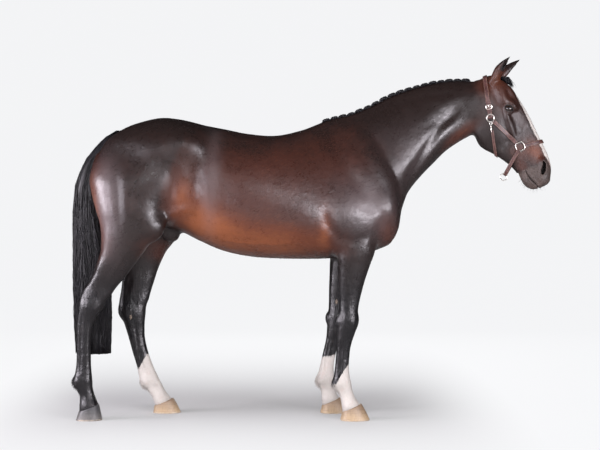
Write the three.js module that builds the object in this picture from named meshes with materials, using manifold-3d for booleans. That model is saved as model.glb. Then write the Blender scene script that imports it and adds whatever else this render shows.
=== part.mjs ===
// A standing horse, life size, wearing a leather headcollar.
// Millimetres. +X is the way the horse faces, +Y its left side, +Z up.
// The origin is on the floor, under the middle of the whole model.
//
// The body is one smooth solid, described by a distance field: lofted sections for trunk, neck,
// head and legs, ellipsoids for muscles and bones, and creases between them. Each named part is
// meshed from that field at its own cell size and parted from its neighbours by thin cuts.
import * as THREE from 'three';
import Module from 'manifold-3d';
import { mergeVertices } from 'three/addons/utils/BufferGeometryUtils.js';

const wasm = await Module();
wasm.setup();

// ---------------------------------------------------------------- driving dimensions
const GAP = 0.4;            // clearance where two parts meet
const RIGHT = -1;           // the horse's right side is at -Y
const LEFT = 1;
const BOTH = 0;             // a form that both sides share
const HEAD_TURN = THREE.MathUtils.degToRad(10);   // the head looks a little to its right
const TURN_X = 850;         // the line across the upper neck about which it turns
const TURN_FROM = 720;      // the bend of the neck starts here
const TURN_SPAN = 240;      // and is complete this much further on
const POLL = { x: 1016, z: 1909 };                // start of the head's own axis
const HEAD_PITCH = THREE.MathUtils.degToRad(-64.3);
const LEG_TOP = 1700;       // height from which the sections of a leg are measured down
const EYE = { s: 202, u: 16, y: 63, radius: 24 };
const STRAP = { lift: 3.2, thick: 4, narrow: 16, wide: 22, crown: 26 };

// ---------------------------------------------------------------- field: building blocks
const clamp = (v, lo, hi) => Math.min(Math.max(v, lo), hi);
const smooth = (t) => t * t * (3 - 2 * t);

// Joins two distances with a fillet of about the size k.
function blend(a, b, k) {
  const h = Math.max(k - Math.abs(a - b), 0) / k;
  return Math.min(a, b) - h * h * k * 0.25;
}

// A smooth curve through the rows, sampled evenly over the first column.
function smoothRows(rows, samples = 160) {
  const n = rows.length;
  const width = rows[0].length;
  const slope = rows.map((row, i) => {
    const a = rows[Math.max(i - 1, 0)];
    const b = rows[Math.min(i + 1, n - 1)];
    return row.map((_, j) => (b[j] - a[j]) / (b[0] - a[0]));
  });
  const first = rows[0][0];
  const last = rows[n - 1][0];
  const table = [];
  let i = 0;
  for (let k = 0; k < samples; k++) {
    const t = first + (last - first) * k / (samples - 1);
    while (i < n - 2 && t > rows[i + 1][0]) i++;
    const h = rows[i + 1][0] - rows[i][0];
    const x = (t - rows[i][0]) / h;
    const out = new Float64Array(width);
    for (let j = 0; j < width; j++) {
      out[j] = (2 * x ** 3 - 3 * x ** 2 + 1) * rows[i][j] + (x ** 3 - 2 * x ** 2 + x) * h * slope[i][j]
        + (3 * x ** 2 - 2 * x ** 3) * rows[i + 1][j] + (x ** 3 - x ** 2) * h * slope[i + 1][j];
    }
    table.push(out);
  }
  return { first, last, table };
}

// A solid lofted along a straight axis in the side view. Each section row is
// [place along the axis, upper edge, lower edge, half width, taper towards the upper edge, middle y,
// roundness].
function loft({ x, z, pitch, rows, power = 2.3, cap = [40, 40], side = BOTH, fillet = 40 }) {
  const full = rows.map((r) => [r[0], r[1], r[2], r[3], r[4] ?? 0, r[5] ?? 0, r[6] ?? power]);
  const { first, last, table } = smoothRows(full);
  const c = Math.cos(pitch);
  const s = Math.sin(pitch);
  const top = table.length - 1;
  function at(px, py, pz) {
    const dx = px - x;
    const dz = pz - z;
    const along = dx * c + dz * s;
    const up = -dx * s + dz * c;
    const inside = clamp(along, first, last);
    const f = (inside - first) / (last - first) * top;
    const i = Math.min(Math.floor(f), top - 1);
    const w = f - i;
    const mix = (j) => table[i][j] * (1 - w) + table[i + 1][j] * w;
    const half = (mix(1) - mix(2)) / 2;
    const u = up - (mix(1) + mix(2)) / 2;
    const v = (side === BOTH ? Math.abs(py) : py * side) - mix(5);
    const over = along - inside;
    const width = mix(3) * (1 - mix(4) * clamp(u / half, -1.2, 1.2));
    const p = mix(6);
    let q = (Math.abs(u / half) ** p + Math.abs(v / width) ** p) ** (1 / p);
    q = Math.max(Math.hypot(q, over / (over < 0 ? cap[0] : cap[1])), 1e-6);
    return Math.hypot(u, v, over) * (1 - 1 / q);
  }
  return { at, fillet };
}

// An ellipsoid: radii along its own long axis, across and upward; pitch in the side view, yaw outward.
function mound({ at: centre, radii, pitch = 0, yaw = 0, side = BOTH, fillet = 40 }) {
  const p = THREE.MathUtils.degToRad(pitch);
  const w = THREE.MathUtils.degToRad(yaw);
  const ax = new THREE.Vector3(Math.cos(p) * Math.cos(w), Math.sin(w), Math.sin(p) * Math.cos(w));
  const ay = new THREE.Vector3(-Math.sin(p), 0, Math.cos(p)).cross(ax);
  const az = new THREE.Vector3().crossVectors(ax, ay);
  const [cx, cy, cz] = centre;
  const [rx, ry, rz] = radii;
  function at(px, py, pz) {
    const x = px - cx;
    const y = (side === BOTH ? Math.abs(py) : py * side) - cy;
    const z = pz - cz;
    const a = x * ax.x + y * ax.y + z * ax.z;
    const b = x * ay.x + y * ay.y + z * ay.z;
    const c = x * az.x + y * az.y + z * az.z;
    const q = Math.max(Math.hypot(a / rx, b / ry, c / rz), 1e-6);
    return Math.hypot(a, b, c) * (1 - 1 / q);
  }
  return { at, fillet };
}

// A groove (depth > 0) or a ridge (depth < 0) along a path in the side view, only beyond a
// distance from the middle plane, and fading out at both ends of the path.
function crease({ path, width, depth, side = BOTH, beyond = 0, soft = 30, ends = 60 }) {
  const legs = path.slice(1).map(([x, z], i) => {
    const [x0, z0] = path[i];
    return { x0, z0, dx: x - x0, dz: z - z0, n: (x - x0) ** 2 + (z - z0) ** 2 };
  });
  let total = 0;
  for (const leg of legs) {
    leg.from = total;
    total += Math.sqrt(leg.n);
  }
  const fade = Math.min(ends, total / 2);
  return function at(px, py, pz) {
    const y = side === BOTH ? Math.abs(py) : py * side;
    if (y < beyond) return 0;
    let best = Infinity;
    let place = 0;
    for (const leg of legs) {
      const t = clamp(((px - leg.x0) * leg.dx + (pz - leg.z0) * leg.dz) / leg.n, 0, 1);
      const d = (px - leg.x0 - t * leg.dx) ** 2 + (pz - leg.z0 - t * leg.dz) ** 2;
      if (d < best) {
        best = d;
        place = leg.from + t * Math.sqrt(leg.n);
      }
    }
    const gate = smooth(clamp((y - beyond) / soft, 0, 1));
    const e = clamp(Math.min(place, total - place) / fade, 0, 1);
    return depth * Math.exp(-best / width ** 2) * gate * (0.85 * smooth(e) + 0.15 * e);
  };
}

// ---------------------------------------------------------------- the head's own frame
// s runs from the poll to the lips, u from the jaw to the front of the face.
const HC = Math.cos(HEAD_PITCH);
const HS = Math.sin(HEAD_PITCH);
const face = (s, u) => [POLL.x + s * HC - u * HS, POLL.z + s * HS + u * HC];
function face3(s, u, y) {
  const [x, z] = face(s, u);
  return [x, y, z];
}

function headMound(s, u, y, rs, ru, ry, options = {}) {
  const { tilt = 0, yaw = 0, fillet = 22 } = options;
  const pitch = THREE.MathUtils.radToDeg(HEAD_PITCH) + tilt;
  return mound({ at: face3(s, u, y), radii: [rs, ry, ru], pitch, yaw, fillet });
}

function headCrease(path, width, depth, options = {}) {
  return crease({ path: path.map(([s, u]) => face(s, u)), width, depth, ...options });
}

// A smooth hollow in the side of the head: centre and radii in s and u.
function dent({ s, u, rs, ru, depth, tilt = 0, beyond = 20, soft = 20 }) {
  const c = Math.cos(THREE.MathUtils.degToRad(tilt));
  const n = Math.sin(THREE.MathUtils.degToRad(tilt));
  return function at(px, py, pz) {
    const x = px - POLL.x;
    const z = pz - POLL.z;
    const a = x * HC + z * HS - s;
    const b = -x * HS + z * HC - u;
    const gate = smooth(clamp((Math.abs(py) - beyond) / soft, 0, 1));
    return depth * Math.exp(-(((a * c + b * n) / rs) ** 2) - ((b * c - a * n) / ru) ** 2) * gate;
  };
}

// Straight-necked coordinates of a point of the turned horse, and the way back for the head.
function unturn(x, y, z) {
  const a = HEAD_TURN * smooth(clamp((x - TURN_FROM) / TURN_SPAN, 0, 1));
  const dx = x - TURN_X;
  return [TURN_X + dx * Math.cos(a) - y * Math.sin(a), dx * Math.sin(a) + y * Math.cos(a), z];
}

function turned([x, y, z]) {
  const dx = x - TURN_X;
  const c = Math.cos(HEAD_TURN);
  const s = Math.sin(HEAD_TURN);
  return new THREE.Vector3(TURN_X + dx * c + y * s, -dx * s + y * c, z);
}

// ---------------------------------------------------------------- anatomy
const TRUNK = loft({
  x: 0, z: 0, pitch: 0, power: 2.2, cap: [40, 36],
  rows: [
    [-1195, 1500, 1290, 96, 0], [-1150, 1566, 1200, 160, 0.06], [-1050, 1622, 1110, 215, 0.06],
    [-940, 1655, 1080, 246, 0.04, 0, 2.25], [-840, 1676, 1070, 262, 0.02, 0, 2.35],
    [-740, 1668, 1045, 266, 0.02, 0, 2.45], [-640, 1652, 996, 264, 0.04, 0, 2.45],
    [-500, 1626, 936, 280, 0.08, 0, 2.3], [-350, 1597, 903, 304, 0.06], [-200, 1588, 892, 314, 0.08],
    [-60, 1617, 889, 300, 0.20], [60, 1658, 890, 272, 0.36], [160, 1670, 896, 250, 0.44],
    [260, 1650, 910, 230, 0.44], [360, 1580, 936, 206, 0.36], [440, 1470, 985, 172, 0.20],
    [470, 1370, 1060, 130, 0.1]],
});

const NECK = loft({
  x: 350, z: 1380, pitch: THREE.MathUtils.degToRad(33), power: 2.1, cap: [60, 40], fillet: 55,
  rows: [
    [-160, 358, -290, 200, 0.40], [-60, 370, -284, 186, 0.42], [40, 350, -236, 162, 0.44],
    [120, 334, -196, 144, 0.46], [210, 320, -167, 126, 0.46], [310, 310, -144, 110, 0.44],
    [410, 287, -124, 98, 0.40], [510, 256, -122, 90, 0.32], [600, 220, -128, 87, 0.22],
    [690, 170, -126, 86, 0.12], [760, 118, -90, 80, 0.05]],
});

const HEAD = loft({
  x: POLL.x, z: POLL.z, pitch: HEAD_PITCH, power: 2.5, cap: [44, 24], fillet: 30,
  rows: [
    [20, 40, -118, 52, -0.02], [55, 60, -134, 66, -0.04], [100, 80, -156, 74, -0.06],
    [155, 88, -192, 77, -0.04], [200, 93, -214, 72, 0.02], [260, 98, -226, 64, 0.08],
    [325, 99, -220, 57, 0.14], [395, 98, -172, 52, 0.16], [460, 99, -134, 48, 0.12],
    [520, 98, -110, 48, 0.04], [575, 89, -100, 49, 0.02], [620, 72, -90, 48, 0.02],
    [652, 46, -70, 42, 0]],
});

// A leg: rows of [height, middle x, middle y, half depth, half width, taper towards the front].
function leg(side, fillet, rows) {
  const sections = rows.map(([z, x, y, depth, width, taper]) => (
    [LEG_TOP - z, x + depth, x - depth, width, taper, y]));
  const shape = loft({ x: 0, z: LEG_TOP, pitch: -Math.PI / 2, rows: sections, cap: [60, 10], side, fillet });
  return { ...shape, rows, side };
}

const LEGS = [
  leg(RIGHT, 45, [   // fore, the near one in a view from the right
    [1120, 300, 165, 105, 70, 0], [1010, 258, 168, 112, 74, 0], [930, 246, 167, 104, 73, 0.05],
    [869, 236, 163, 92, 65, 0.08], [790, 224, 158, 77, 55, 0.08], [730, 216, 154, 68, 48, 0.06],
    [660, 209, 150, 58, 43, 0], [600, 203, 148, 55, 46, -0.05], [560, 200, 147, 57, 49, -0.10],
    [519, 196, 147, 57, 49, -0.12], [480, 190, 146, 51, 43, -0.10], [440, 183, 146, 44, 35, 0],
    [400, 177, 145, 40, 30, 0], [350, 172, 144, 39, 28, 0], [291, 168, 143, 40, 29, 0],
    [240, 167, 142, 46, 34, 0], [205, 170, 142, 51, 39, 0], [170, 181, 142, 46, 36, 0],
    [141, 194, 142, 42, 34, 0], [110, 207, 142, 46, 39, 0], [80, 219, 142, 54, 48, 0],
    [40, 232, 142, 60, 50, 0]]),
  leg(LEFT, 45, [
    [1120, 275, 165, 105, 70, 0], [1010, 232, 168, 112, 74, 0], [930, 214, 167, 104, 73, 0.05],
    [862, 198, 163, 92, 65, 0.08], [790, 181, 158, 77, 55, 0.08], [718, 168, 154, 67, 48, 0.06],
    [650, 158, 150, 58, 43, 0], [594, 153, 148, 55, 46, -0.05], [552, 150, 147, 57, 49, -0.10],
    [510, 147, 147, 57, 49, -0.12], [465, 139, 146, 51, 43, -0.10], [424, 128, 146, 44, 35, 0],
    [380, 115, 145, 40, 30, 0], [335, 103, 144, 39, 28, 0], [275, 91, 143, 40, 29, 0],
    [228, 85, 142, 46, 34, 0], [190, 83, 142, 51, 39, 0], [155, 88, 142, 46, 36, 0],
    [128, 96, 142, 42, 34, 0], [102, 104, 142, 46, 39, 0], [76, 112, 142, 54, 48, 0],
    [40, 124, 142, 60, 50, 0]]),
  leg(RIGHT, 75, [   // hind, set back
    [1530, -940, 100, 120, 62, 0], [1480, -955, 106, 185, 98, 0], [1410, -982, 114, 232, 134, 0],
    [1340, -1000, 120, 238, 153, 0], [1250, -1006, 128, 218, 156, 0], [1160, -1006, 140, 192, 148, 0.03],
    [1090, -1004, 152, 172, 130, 0.05], [1010, -1024, 165, 144, 104, 0.06], [935, -1050, 170, 122, 80, 0.08],
    [860, -1092, 166, 108, 62, 0.10], [790, -1136, 159, 98, 48, 0.10], [740, -1172, 154, 90, 41, 0.05],
    [703, -1194, 152, 86, 41, 0], [664, -1214, 150, 74, 42, -0.05], [618, -1230, 149, 67, 43, -0.05],
    [575, -1249, 148, 54, 37, 0], [530, -1261, 147, 46, 32, 0], [470, -1266, 146, 42, 30, 0],
    [402, -1267, 145, 41, 29, 0], [310, -1268, 144, 42, 29, 0], [255, -1270, 143, 48, 34, 0],
    [218, -1272, 142, 53, 39, 0], [180, -1264, 142, 47, 36, 0], [140, -1250, 142, 43, 34, 0],
    [110, -1243, 142, 48, 40, 0], [80, -1238, 142, 55, 47, 0], [40, -1232, 142, 60, 49, 0]]),
  leg(LEFT, 75, [    // hind, set forward
    [1530, -940, 100, 120, 62, 0], [1480, -955, 106, 185, 98, 0], [1410, -982, 114, 232, 134, 0],
    [1340, -998, 120, 238, 153, 0], [1250, -998, 128, 220, 156, 0], [1160, -985, 140, 200, 148, 0.03],
    [1070, -960, 154, 170, 126, 0.05], [980, -950, 166, 140, 98, 0.06], [900, -968, 169, 118, 75, 0.08],
    [830, -985, 165, 104, 59, 0.10], [758, -998, 158, 94, 48, 0.10], [700, -1010, 154, 88, 41, 0.05],
    [655, -1020, 152, 86, 41, 0], [614, -1029, 150, 80, 42, -0.05], [565, -1028, 149, 74, 43, -0.05],
    [525, -1021, 148, 63, 39, 0], [480, -1014, 147, 55, 33, 0], [430, -1005, 146, 48, 30, 0],
    [350, -985, 145, 46, 29, 0], [268, -958, 144, 48, 30, 0], [215, -940, 143, 54, 35, 0],
    [178, -925, 142, 58, 39, 0], [140, -900, 142, 52, 36, 0], [105, -876, 142, 50, 39, 0],
    [74, -855, 142, 56, 46, 0], [36, -836, 142, 60, 48, 0]]),
];

const MUSCLES = [
  mound({ at: [-850, 90, 1515], radii: [270, 158, 144], pitch: 4, fillet: 80 }),         // croup
  mound({ at: [-676, 172, 1530], radii: [92, 72, 66], pitch: -30, fillet: 90 }),         // point of hip
  mound({ at: [290, 118, 1400], radii: [280, 70, 130], pitch: -58, yaw: 14, fillet: 70 }),   // shoulder blade
  mound({ at: [215, 182, 1150], radii: [140, 68, 160], pitch: 15, fillet: 60 }),         // triceps
  mound({ at: [392, 165, 1175], radii: [84, 68, 100], fillet: 55 }),                     // point of shoulder
  mound({ at: [412, 84, 1085], radii: [74, 80, 105], fillet: 55 }),                      // breast
  mound({ at: [120, 168, 1040], radii: [100, 58, 80], pitch: 20, fillet: 50 }),          // elbow
  mound({ at: [-872, 214, 1075], radii: [62, 44, 78], pitch: -20, side: RIGHT, fillet: 70 }),   // stifles
  mound({ at: [-838, 214, 1050], radii: [62, 44, 78], pitch: -20, side: LEFT, fillet: 70 }),
];
const SHEATH = mound({ at: [-812, 0, 1040], radii: [70, 42, 48], pitch: -30, fillet: 50 });

function kneeBones(side, x, z) {
  return [
    mound({ at: [x - 46, 150, z - 8], radii: [20, 20, 30], side, fillet: 24 }),
    mound({ at: [x + 16, 148, z], radii: [42, 45, 48], side, fillet: 30 })];
}
const hockBones = (side, x, z) => mound({ at: [x - 4, 150, z - 58], radii: [56, 42, 48], side, fillet: 34 });
const fetlockBones = (side, x, z) => mound({
  at: [x - 26, 142, z - 4], radii: [28, 34, 34], pitch: -25, side, fillet: 26,
});
const JOINT_BONES = [
  hockBones(RIGHT, -1226, 700), hockBones(LEFT, -1046, 640),
  ...kneeBones(RIGHT, 198, 560), ...kneeBones(LEFT, 148, 552),
  fetlockBones(RIGHT, 170, 205), fetlockBones(LEFT, 83, 190),
  fetlockBones(RIGHT, -1272, 218), fetlockBones(LEFT, -925, 180)];

const HEAD_FORMS = [
  headMound(225, -108, 42, 122, 108, 38, { fillet: 34 }),              // jowl
  headMound(150, 14, 56, 74, 30, 34, { fillet: 28 }),                  // bar of bone behind the eye
  headMound(192, 44, 56, 40, 20, 32, { tilt: 8 }),                     // brow
  headMound(226, -8, 58, 42, 17, 28, { tilt: -10 }),                   // rim under the eye
  headMound(295, -18, 52, 66, 14, 20, { tilt: -6, yaw: -7 }),          // crest of the cheek
  headMound(86, 18, 42, 60, 34, 34, { fillet: 34 }),                   // temple
  headMound(575, 50, 28, 54, 28, 32, { tilt: -8 }),                    // wing of the nostril
  headMound(630, 14, 12, 40, 40, 42),                                  // upper lip
  headMound(612, -62, 10, 46, 32, 36, { fillet: 20 }),                 // chin
];

// Groove between the cannon bone and the tendons behind it.
function tendon(side, path) {
  return crease({ path, width: 7, depth: 5, side, beyond: 60, ends: 50 });
}

// Hollow in front of the cord that runs down to the point of the hock.
function hockHollow(side, x, z, lean) {
  const path = [[x + lean, z + 150], [x + 10, z + 60], [x + 18, z + 6]];
  return crease({ path, width: 15, depth: 9, side, beyond: 60 });
}

const CREASES = [
  // front edge of the thigh, and the hollow of the flank before it
  crease({
    path: [[-745, 1440], [-768, 1330], [-800, 1210], [-855, 1060]],
    width: 40, depth: 12, beyond: 120, soft: 80, ends: 110,
  }),
  crease({
    path: [[-625, 1460], [-650, 1380], [-690, 1290], [-730, 1210]],
    width: 60, depth: 12, beyond: 120, soft: 80, ends: 110,
  }),
  // hamstring line, end of the ribs, fold of the flank
  crease({
    path: [[-1075, 1420], [-1066, 1300], [-1056, 1180], [-1052, 1030]],
    width: 24, depth: 7, beyond: 90, soft: 60, ends: 120,
  }),
  crease({
    path: [[-500, 1540], [-548, 1416], [-572, 1251], [-552, 1086], [-515, 990]],
    width: 46, depth: -6, beyond: 120, soft: 60, ends: 120,
  }),
  crease({
    path: [[-820, 1105], [-760, 1140], [-690, 1165], [-600, 1150]],
    width: 30, depth: -12, beyond: 100, soft: 70, ends: 90,
  }),
  // shoulder blade: front edge, spine, back edge
  crease({
    path: [[310, 1640], [372, 1540], [430, 1420], [486, 1300], [482, 1190]],
    width: 28, depth: 10, beyond: 70, soft: 60, ends: 100,
  }),
  crease({
    path: [[215, 1600], [295, 1450], [370, 1315], [415, 1230]],
    width: 24, depth: 4, beyond: 80, soft: 60, ends: 140,
  }),
  crease({
    path: [[120, 1560], [175, 1420], [250, 1300], [320, 1210]],
    width: 34, depth: 5, beyond: 80, soft: 60, ends: 140,
  }),
  // lower edge of the triceps, and the line between arm and breast
  crease({
    path: [[66, 1200], [80, 1100], [144, 1018], [220, 996], [297, 1020], [345, 1085]],
    width: 24, depth: 9, beyond: 120, soft: 50, ends: 110,
  }),
  crease({
    path: [[330, 930], [352, 1032], [392, 1110], [415, 1170]],
    width: 26, depth: 8, beyond: 90, soft: 50, ends: 80,
  }),
  // jugular groove, line under the crest, hollow behind the jaw, swell of the neck
  crease({
    path: [[850, 1735], [717, 1632], [633, 1502], [560, 1380], [512, 1262]],
    width: 24, depth: 10, beyond: 20, soft: 40, ends: 110,
  }),
  crease({
    path: [[862, 1832], [665, 1813], [497, 1768], [328, 1712], [190, 1655]],
    width: 22, depth: 5, beyond: 10, ends: 120,
  }),
  crease({
    path: [[900, 1770], [744, 1695], [610, 1600]],
    width: 34, depth: 7, beyond: 20, soft: 40, ends: 110,
  }),
  crease({
    path: [[700, 1740], [560, 1640], [450, 1500]],
    width: 60, depth: -5, beyond: 20, soft: 40, ends: 110,
  }),
  // legs
  hockHollow(RIGHT, -1250, 715, 70),
  hockHollow(LEFT, -1066, 655, 36),
  tendon(RIGHT, [[169, 450], [161, 345], [157, 240]]),
  tendon(LEFT, [[111, 440], [89, 332], [75, 225]]),
  tendon(RIGHT, [[-1272, 600], [-1280, 430], [-1282, 260]]),
  tendon(LEFT, [[-1023, 560], [-997, 388], [-955, 215]]),
  // head: hollow over the eye, socket, nostril, nose, cheek, jaw, mouth and chin
  dent({ s: 124, u: 54, rs: 34, ru: 18, depth: 10, beyond: 40 }),
  dent({ s: EYE.s, u: EYE.u, rs: 32, ru: 22, depth: 10, beyond: 50 }),
  dent({ s: 583, u: 44, rs: 34, ru: 11, depth: 20, tilt: -27, beyond: 18, soft: 14 }),
  headCrease([[300, 26], [380, 30], [470, 28]], 26, 6, { beyond: 20, soft: 20, ends: 50 }),
  headCrease([[240, -42], [300, -48], [350, -54]], 18, 5, { beyond: 40, soft: 20, ends: 40 }),
  headCrease([[357, -44], [382, -85], [400, -130]], 20, 6, { beyond: 25, soft: 20, ends: 30 }),
  headCrease([[549, -54], [600, -50], [645, -36], [700, -28]], 5, 9, { beyond: -40, soft: 20, ends: 20 }),
  headCrease([[540, -104], [565, -76]], 16, 6, { beyond: -40, soft: 20, ends: 10 }),
];

function body(px, py, pz) {
  const [x, y, z] = unturn(px, py, pz);
  let d = TRUNK.at(x, y, z);
  for (const form of [...MUSCLES, ...LEGS, ...JOINT_BONES, NECK]) d = blend(d, form.at(x, y, z), form.fillet);
  let h = HEAD.at(x, y, z);
  for (const form of HEAD_FORMS) h = blend(h, form.at(x, y, z), form.fillet);
  d = blend(blend(d, h, HEAD.fillet), SHEATH.at(x, y, z), SHEATH.fillet);
  for (const at of CREASES) d += at(x, y, z);
  return d;
}

// ---------------------------------------------------------------- field to mesh
// Steps out from a point inside the body until the skin is passed, then closes in on it.
function skinAlong(centre, direction, reach) {
  const at = (r) => body(...centre.map((c, m) => c + direction[m] * r));
  let r = 0;
  let d = at(0);
  while (d < 0 && r < reach) {
    r += clamp(-0.6 * d, 1.5, 40);
    d = at(r);
  }
  if (r >= reach) return reach;
  let low = Math.max(r - 40, 0);
  for (let q = r; q > low; q -= 1.5) if (at(q) < 0) low = q;
  for (let i = 0; i < 12; i++) {
    const middle = (low + r) / 2;
    if (at(middle) < 0) low = middle; else r = middle;
  }
  return r;
}

// Rings of skin points round an axis: rays leave each centre in the plane square to the axis.
function bodyRings({ pitch, centres, segments, reach = 500, ends = [0, 0] }) {
  const a = THREE.MathUtils.degToRad(pitch);
  const along = [Math.cos(a), 0, Math.sin(a)];
  const up = [-Math.sin(a), 0, Math.cos(a)];
  const rings = centres.map((centre) => Array.from({ length: segments }, (_, i) => {
    const t = Math.PI / 2 + 2 * Math.PI * i / segments;      // one ray points straight up
    const way = up.map((u, m) => u * Math.sin(t) + (m === 1 ? Math.cos(t) : 0));
    const r = skinAlong(centre, way, reach);
    return centre.map((c, m) => c + way[m] * r);
  }));
  const poles = [centres[0], centres[centres.length - 1]].map((centre, k) => {
    if (!ends[k]) return null;
    const way = along.map((v) => v * (k ? 1 : -1));
    const r = skinAlong(centre, way, 200);
    return centre.map((c, m) => c + way[m] * r);
  });
  return { rings, poles };
}

// Moves each vertex along the field's slope until the field there has the wanted value.
function settle(vertices, wanted, rounds = 3) {
  const e = 1;
  for (let v = 0; v < vertices.length; v += 3) {
    for (let r = 0; r < rounds; r++) {
      const [x, y, z] = vertices.slice(v, v + 3);
      const d = body(x, y, z) - wanted;
      const g = [
        body(x + e, y, z) - body(x - e, y, z),
        body(x, y + e, z) - body(x, y - e, z),
        body(x, y, z + e) - body(x, y, z - e)].map((w) => w / (2 * e));
      const slope = Math.max(g[0] ** 2 + g[1] ** 2 + g[2] ** 2, 0.05);
      if (Math.abs(d) > 40) break;
      const step = clamp(d / slope, -6, 6);
      for (let m = 0; m < 3; m++) vertices[v + m] -= step * g[m];
    }
  }
}

function solidFrom({ vertices, triangles }) {
  const mesh = new wasm.Mesh({
    numProp: 3, vertProperties: new Float32Array(vertices), triVerts: new Uint32Array(triangles),
  });
  return new wasm.Manifold(mesh);
}

// ---------------------------------------------------------------- joining and cutting
function solidFromGeometry(geometry) {
  const g = geometry.clone();
  g.deleteAttribute('normal');
  g.deleteAttribute('uv');
  const merged = mergeVertices(g, 1e-4);
  return solidFrom({ vertices: merged.attributes.position.array, triangles: merged.index.array });
}

function box(x0, x1, y0, y1, z0, z1) {
  const g = new THREE.BoxGeometry(x1 - x0, y1 - y0, z1 - z0);
  g.translate((x0 + x1) / 2, (y0 + y1) / 2, (z0 + z1) / 2);
  return solidFromGeometry(g);
}

// A block that fills everything ahead of a plane, in the direction of its normal.
function ahead(point, normal, size = 4000) {
  const g = new THREE.BoxGeometry(size, size, size);
  g.translate(0, 0, size / 2);
  const n = new THREE.Vector3(...normal).normalize();
  g.applyQuaternion(new THREE.Quaternion().setFromUnitVectors(new THREE.Vector3(0, 0, 1), n));
  g.translate(...point);
  return solidFromGeometry(g);
}

function geometryOf(solid) {
  const mesh = solid.getMesh();
  const g = new THREE.BufferGeometry();
  const positions = new Float32Array(mesh.numVert * 3);
  for (let i = 0; i < mesh.numVert; i++) {
    for (let m = 0; m < 3; m++) positions[3 * i + m] = mesh.vertProperties[mesh.numProp * i + m];
  }
  g.setAttribute('position', new THREE.BufferAttribute(positions, 3));
  g.setIndex(new THREE.BufferAttribute(new Uint32Array(mesh.triVerts), 1));
  return g;
}

// The largest piece of a solid, where a cut has left slivers.
function largest(solid) {
  return solid.decompose().reduce((a, b) => (a.volume() > b.volume() ? a : b));
}

// A closed skin over rings of points; every ring has the same number of points. Each end closes
// on its pole, or on the middle of its last ring.
function skinMesh(rings, poles = [null, null]) {
  const n = rings[0].length;
  const vertices = [];
  const triangles = [];
  for (const ring of rings) for (const p of ring) vertices.push(...p);
  for (let r = 0; r < rings.length - 1; r++) {
    for (let i = 0; i < n; i++) {
      const a = r * n + i;
      const b = r * n + (i + 1) % n;
      triangles.push(a, b, a + n, b, b + n, a + n);
    }
  }
  for (const [k, r] of [[0, 0], [1, rings.length - 1]]) {
    const centre = poles[k] ?? [0, 1, 2].map((m) => rings[r].reduce((s, p) => s + p[m], 0) / n);
    const hub = vertices.length / 3;
    vertices.push(...centre);
    for (let i = 0; i < n; i++) {
      const a = r * n + i;
      const b = r * n + (i + 1) % n;
      triangles.push(...(k ? [hub, a, b] : [hub, b, a]));
    }
  }
  if (solidFrom({ vertices, triangles }).volume() < 0) {
    for (let t = 0; t < triangles.length; t += 3) {
      [triangles[t], triangles[t + 1]] = [triangles[t + 1], triangles[t]];
    }
  }
  return { vertices, triangles };
}
const skinRings = (rings, poles) => solidFrom(skinMesh(rings, poles));

// A piece of the body with, at need, a copy swollen outward that cuts its neighbours clear of it.
function bodyPiece(options) {
  const { rings, poles } = bodyRings(options);
  const mesh = skinMesh(rings, poles);
  const swollen = (by) => {
    const vertices = [...mesh.vertices];
    settle(vertices, by);
    return solidFrom({ vertices, triangles: mesh.triangles });
  };
  return { solid: solidFrom(mesh), swollen };
}

// ---------------------------------------------------------------- scene graph
const horse = new THREE.Group();
const FINISH = {
  coat: { color: 0x3a1f14, roughness: 0.45 },
  blackHair: { color: 0x14110f, roughness: 0.6 },
  paleHoof: { color: 0xb59f86, roughness: 0.6 },
  darkHoof: { color: 0x4a4642, roughness: 0.6 },
  eye: { color: 0x1a0f0a, roughness: 0.08 },
  leather: { color: 0x33201c, roughness: 0.5 },
  metal: { color: 0xc9c2b4, roughness: 0.3, metalness: 1 },
};

function add(name, solid, finish) {
  const mesh = new THREE.Mesh(geometryOf(solid), new THREE.MeshStandardMaterial(FINISH[finish]));
  mesh.name = name;
  horse.add(mesh);
}

// ---------------------------------------------------------------- body parts
// Planes of the two cuts across the neck: at its base, and behind the jaw.
const NECK_BASE = { point: [220, 0, 1720], normal: [520, 0, 310] };
const THROAT = {
  point: turned([932, 0, 1740]).toArray(),
  normal: [Math.cos(HEAD_TURN), -Math.sin(HEAD_TURN), -0.266],
};
const shift = ({ point, normal }, by) => {
  const n = new THREE.Vector3(...normal).normalize();
  return point.map((v, i) => v + n.getComponent(i) * by);
};
const flip = (normal) => normal.map((v) => -v);

// Boxes that take the legs off the trunk, and the heights that part them again.
const LEG_BOXES = {
  fore_right: { side: RIGHT, x: [132, 402], inner: 78, top: 1000, joint: 470 },
  fore_left: { side: LEFT, x: [105, 378], inner: 78, top: 1000, joint: 462 },
  hind_right: { side: RIGHT, x: [-1400, -806], inner: 50, top: 1008, joint: 560 },
  hind_left: { side: LEFT, x: [-1400, -780], inner: 50, top: 1008, joint: 505 },
};
const OUTER = 345;                 // beyond the widest place of the body
const CLEAR_OF_TRUNK = 830;        // below this height a leg's box may be wide
function legBox({ side, x, inner, top }, grow = 0) {
  const [y0, y1] = side === RIGHT ? [-OUTER, -inner] : [inner, OUTER];
  const upper = box(x[0] - grow, x[1] + grow, y0 - grow, y1 + grow, CLEAR_OF_TRUNK - 30, top + grow);
  return upper.add(box(x[0] - 150, x[1] + 60, y0, y1, -60, CLEAR_OF_TRUNK));
}

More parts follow.
